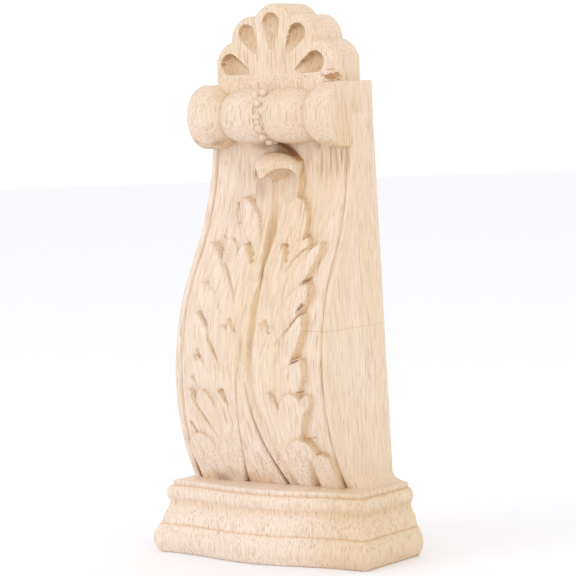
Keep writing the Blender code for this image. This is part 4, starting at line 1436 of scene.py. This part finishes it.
    def streaks(self, tree: Tree, place: Socket, opened: Socket) -> Socket:
        """Long faint vessel lines, thicker in some parts of the board than in others.

        Args:
            tree: The material's node tree.
            place: Position with the grain's wander added.
            opened: Mark on the mesh where the tool has opened many vessels.

        Returns:
            Their share of the colour.
        """
        line = self.pattern(tree, "TexVoronoi", place, self.streak_spacing, self.streak_edge,
                            (0.0, self.streak_share))
        share = self.pattern(tree, "TexNoise", place, self.crowd_size, self.crowd_range, self.crowd_shares)
        either = add_node(tree, "Math", {"operation": "MAXIMUM"}, {0: share, 1: opened})
        return add_node(tree, "Math", {"operation": "MULTIPLY"}, {0: line, 1: either})

    def pores(self, tree: Tree, place: Socket) -> Socket:
        """Open pores: short dark dashes on upright faces and dots across the grain.

        Args:
            tree: The material's node tree.
            place: Position with the grain's wander added.

        Returns:
            Their share of the colour.
        """
        dash = self.pattern(tree, "TexVoronoi", place, self.pore_spacing, self.pore_edge, (0.0, 1.0))
        cells = dash.node.inputs["Value"].links[0].from_node
        chance = add_node(tree, "SeparateColor", {}, {0: cells.outputs["Color"]})
        share = add_node(tree, "MapRange", {}, {"Value": chance, "From Min": self.pore_chance,
                                                "From Max": 1.0, "To Max": self.pore_share})
        return add_node(tree, "Math", {"operation": "MULTIPLY"}, {0: dash, 1: share})

    def boards(self, tree: Tree, place: Socket, bent: Socket) -> Socket:
        """The plain colour of the glued-up boards.

        Args:
            tree: The material's node tree.
            place: Position in metres.
            bent: Position with the grain's wander added.

        Returns:
            Cream drifting to honey, with the lower board's tints, the left side painted paler as painted
            light, and the joint as a thin line.
        """
        tone = self.pattern(tree, "TexNoise", bent, self.tone_size, self.tone_range, (0.0, 1.0))
        upper = add_node(tree, "Mix", {"data_type": "RGBA"},
                         {0: tone, 6: linear(self.cream), 7: linear(self.honey)}, 2)
        across = add_node(tree, "SeparateXYZ", {}, {0: place}, "X")
        up = across.node.outputs["Z"]
        start, end = (x * MM for x in self.straw_places)
        rightward = add_node(tree, "MapRange", {}, {"Value": across, "From Min": start, "From Max": end})
        lower = add_node(tree, "Mix", {"data_type": "RGBA"},
                         {0: rightward, 6: linear(self.rosy), 7: linear(self.straw)}, 2)
        start, end = ((z - MOUNT_HEIGHT) * MM for z in self.pale_heights)
        low = add_node(tree, "MapRange", {}, {"Value": up, "From Min": start, "From Max": end})
        # Painted light: the left side below the roll takes the paler tint
        start, end = (x * MM for x in self.painted_light_places)
        leftward = add_node(tree, "MapRange", {}, {"Value": across, "From Min": start, "From Max": end,
                                                   "To Max": self.painted_light_share})
        below_roll = add_node(tree, "Math", {"operation": "LESS_THAN"},
                              {0: up, 1: (self.painted_light_below - MOUNT_HEIGHT) * MM})
        left = add_node(tree, "Math", {"operation": "MULTIPLY"}, {0: leftward, 1: below_roll})
        pale = add_node(tree, "Math", {"operation": "MAXIMUM"}, {0: low, 1: left})
        colour = add_node(tree, "Mix", {"data_type": "RGBA"}, {0: pale, 6: upper, 7: lower}, 2)
        outer = add_node(tree, "Math", {"operation": "GREATER_THAN"}, {0: across, 1: self.board_start * MM})
        near = add_node(tree, "Math", {"operation": "COMPARE"},
                        {0: up, 1: (self.board_joint - MOUNT_HEIGHT) * MM, 2: self.joint_half_width * MM})
        crossing = add_node(tree, "Math", {"operation": "MULTIPLY"}, {0: outer, 1: near})
        line = add_node(tree, "Math", {"operation": "MULTIPLY"}, {0: crossing, 1: self.joint_strength})
        return add_node(tree, "Mix", {"data_type": "RGBA"}, {0: line, 6: colour, 7: linear(self.fibre)}, 2)


@dataclass(frozen=True)
class StudioPaper:
    """A sheet of matt studio paper: near white, with hardly any tooth."""

    white: str = "#FAFAFE"
    shade: str = "#F8F8FC"
    roughness: float = 0.9
    tooth_scale: float = 40.0

    def build(self) -> bpy.types.Material:
        """Make the material.

        Returns:
            The material for the studio's floor.
        """
        material = bpy.data.materials.new("studio_paper")
        material.use_nodes = True
        tree = material.node_tree
        shader = tree.nodes["Principled BSDF"]
        shader.inputs["Roughness"].default_value = self.roughness
        place = add_node(tree, "TexCoord", {}, {}, "Object")
        tooth = add_node(tree, "TexNoise", {}, {"Vector": place, "Scale": self.tooth_scale})
        colour = add_node(tree, "Mix", {"data_type": "RGBA"},
                          {0: tooth, 6: linear(self.white), 7: linear(self.shade)}, 2)
        tree.links.new(colour, shader.inputs["Base Color"])
        return material


@dataclass(frozen=True)
class Softbox:
    """A square lamp: where it stands, what it points at, its side and its power."""

    name: str
    place: Triple
    aim: Triple
    side: float
    power: float
    colour: str = "#FFFFFF"

    def build(self) -> None:
        """Put the lamp in the scene."""
        lamp = bpy.data.lights.new(self.name, "AREA")
        lamp.size = self.side
        lamp.energy = self.power
        lamp.color = linear(self.colour)[:3]
        obj = bpy.data.objects.new(self.name, lamp)
        obj.location = self.place
        obj.rotation_euler = (Vector(self.aim) - Vector(self.place)).to_track_quat("-Z", "Y").to_euler()
        bpy.context.scene.collection.objects.link(obj)


@dataclass
class Studio:
    """Camera, soft lamps, pale surroundings and the floor that the corbel stands on."""

    camera_place: Triple = (0.39957, -0.56697, 0.05045)
    azimuth: float = 35.625
    pitch: float = 4.401
    roll: float = -1.838
    lens: float = 157.44
    sensor: float = 36.0
    surroundings: float = 1.0
    floor_radius: float = 3.0
    floor_sides: int = 96
    clip_start: float = 0.01
    lamps: tuple[Softbox, ...] = (
        Softbox("key_softbox", (-0.55, -0.9, 0.75), (0.0, 0.0, 0.0), 0.7, 1.5),
        Softbox("low_softbox", (-0.45, -0.9, 0.0), (0.0, 0.0, -0.03), 0.6, 0.6),
        Softbox("fill_softbox", (1.1, -0.4, 0.35), (0.0, 0.0, 0.0), 0.9, 1.6, "#FFF1D0"),
    )

    def build(self) -> None:
        """Set up the whole studio."""
        self.build_camera()
        self.build_surroundings()
        self.build_floor()
        for lamp in self.lamps:
            lamp.build()

    def build_camera(self) -> None:
        """The camera at the photograph's place, turned slightly about its own axis."""
        turn, dip, tip = (math.radians(value) for value in (self.azimuth, self.pitch, self.roll))
        back = Vector((math.sin(turn) * math.cos(dip), -math.cos(turn) * math.cos(dip), math.sin(dip)))
        right = (-back).cross(Vector((0.0, 0.0, 1.0))).normalized()
        up = right.cross(-back)
        across = math.cos(tip) * right + math.sin(tip) * up
        upward = math.cos(tip) * up - math.sin(tip) * right
        lens = bpy.data.cameras.new("photograph_camera")
        lens.lens = self.lens
        lens.sensor_width = self.sensor
        lens.clip_start = self.clip_start
        camera = bpy.data.objects.new("photograph_camera", lens)
        camera.matrix_world = Matrix((across, upward, back)).transposed().to_4x4()
        camera.location = self.camera_place
        bpy.context.scene.collection.objects.link(camera)
        bpy.context.scene.camera = camera

    def build_surroundings(self) -> None:
        """Even white light from all round, shown without a film curve."""
        world = bpy.data.worlds.new("soft_surroundings")
        world.use_nodes = True
        sky = world.node_tree.nodes["Background"]
        sky.inputs["Color"].default_value = (1.0, 1.0, 1.0, 1.0)
        sky.inputs["Strength"].default_value = self.surroundings
        bpy.context.scene.world = world
        bpy.context.scene.view_settings.view_transform = "Standard"

    def build_floor(self) -> None:
        """A wide disc of studio paper under the plinth."""
        shape = bmesh.new()
        bmesh.ops.create_circle(shape, cap_ends=True, segments=self.floor_sides, radius=self.floor_radius)
        mesh = bpy.data.meshes.new("studio_floor")
        shape.to_mesh(mesh)
        shape.free()
        floor = bpy.data.objects.new("studio_floor", mesh)
        floor.location.z = -MOUNT_HEIGHT * MM
        mesh.materials.append(StudioPaper().build())
        bpy.context.scene.collection.objects.link(floor)


def dress(piece: Piece, wood: bpy.types.Material) -> None:
    """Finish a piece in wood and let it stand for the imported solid."""
    piece.data.materials.append(wood)
    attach(piece, "root")
    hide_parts(SOLID)
    LOG.info("%s: %d faces", piece.name, len(piece.data.polygons))


def main() -> None:
    """Build the studio and every piece of the corbel."""
    logging.basicConfig(level=logging.INFO, format="%(name)s: %(message)s")
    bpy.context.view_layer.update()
    Studio().build()
    wood = Rubberwood().build()
    roll = Roll()
    for piece in (CarvedBody().build(), roll.build_bar(), roll.build_beads(), ShellCrest().build(),
                  CurledTip().build(), Plinth().build()):
        dress(piece, wood)


if __name__ == "__main__":
    main()
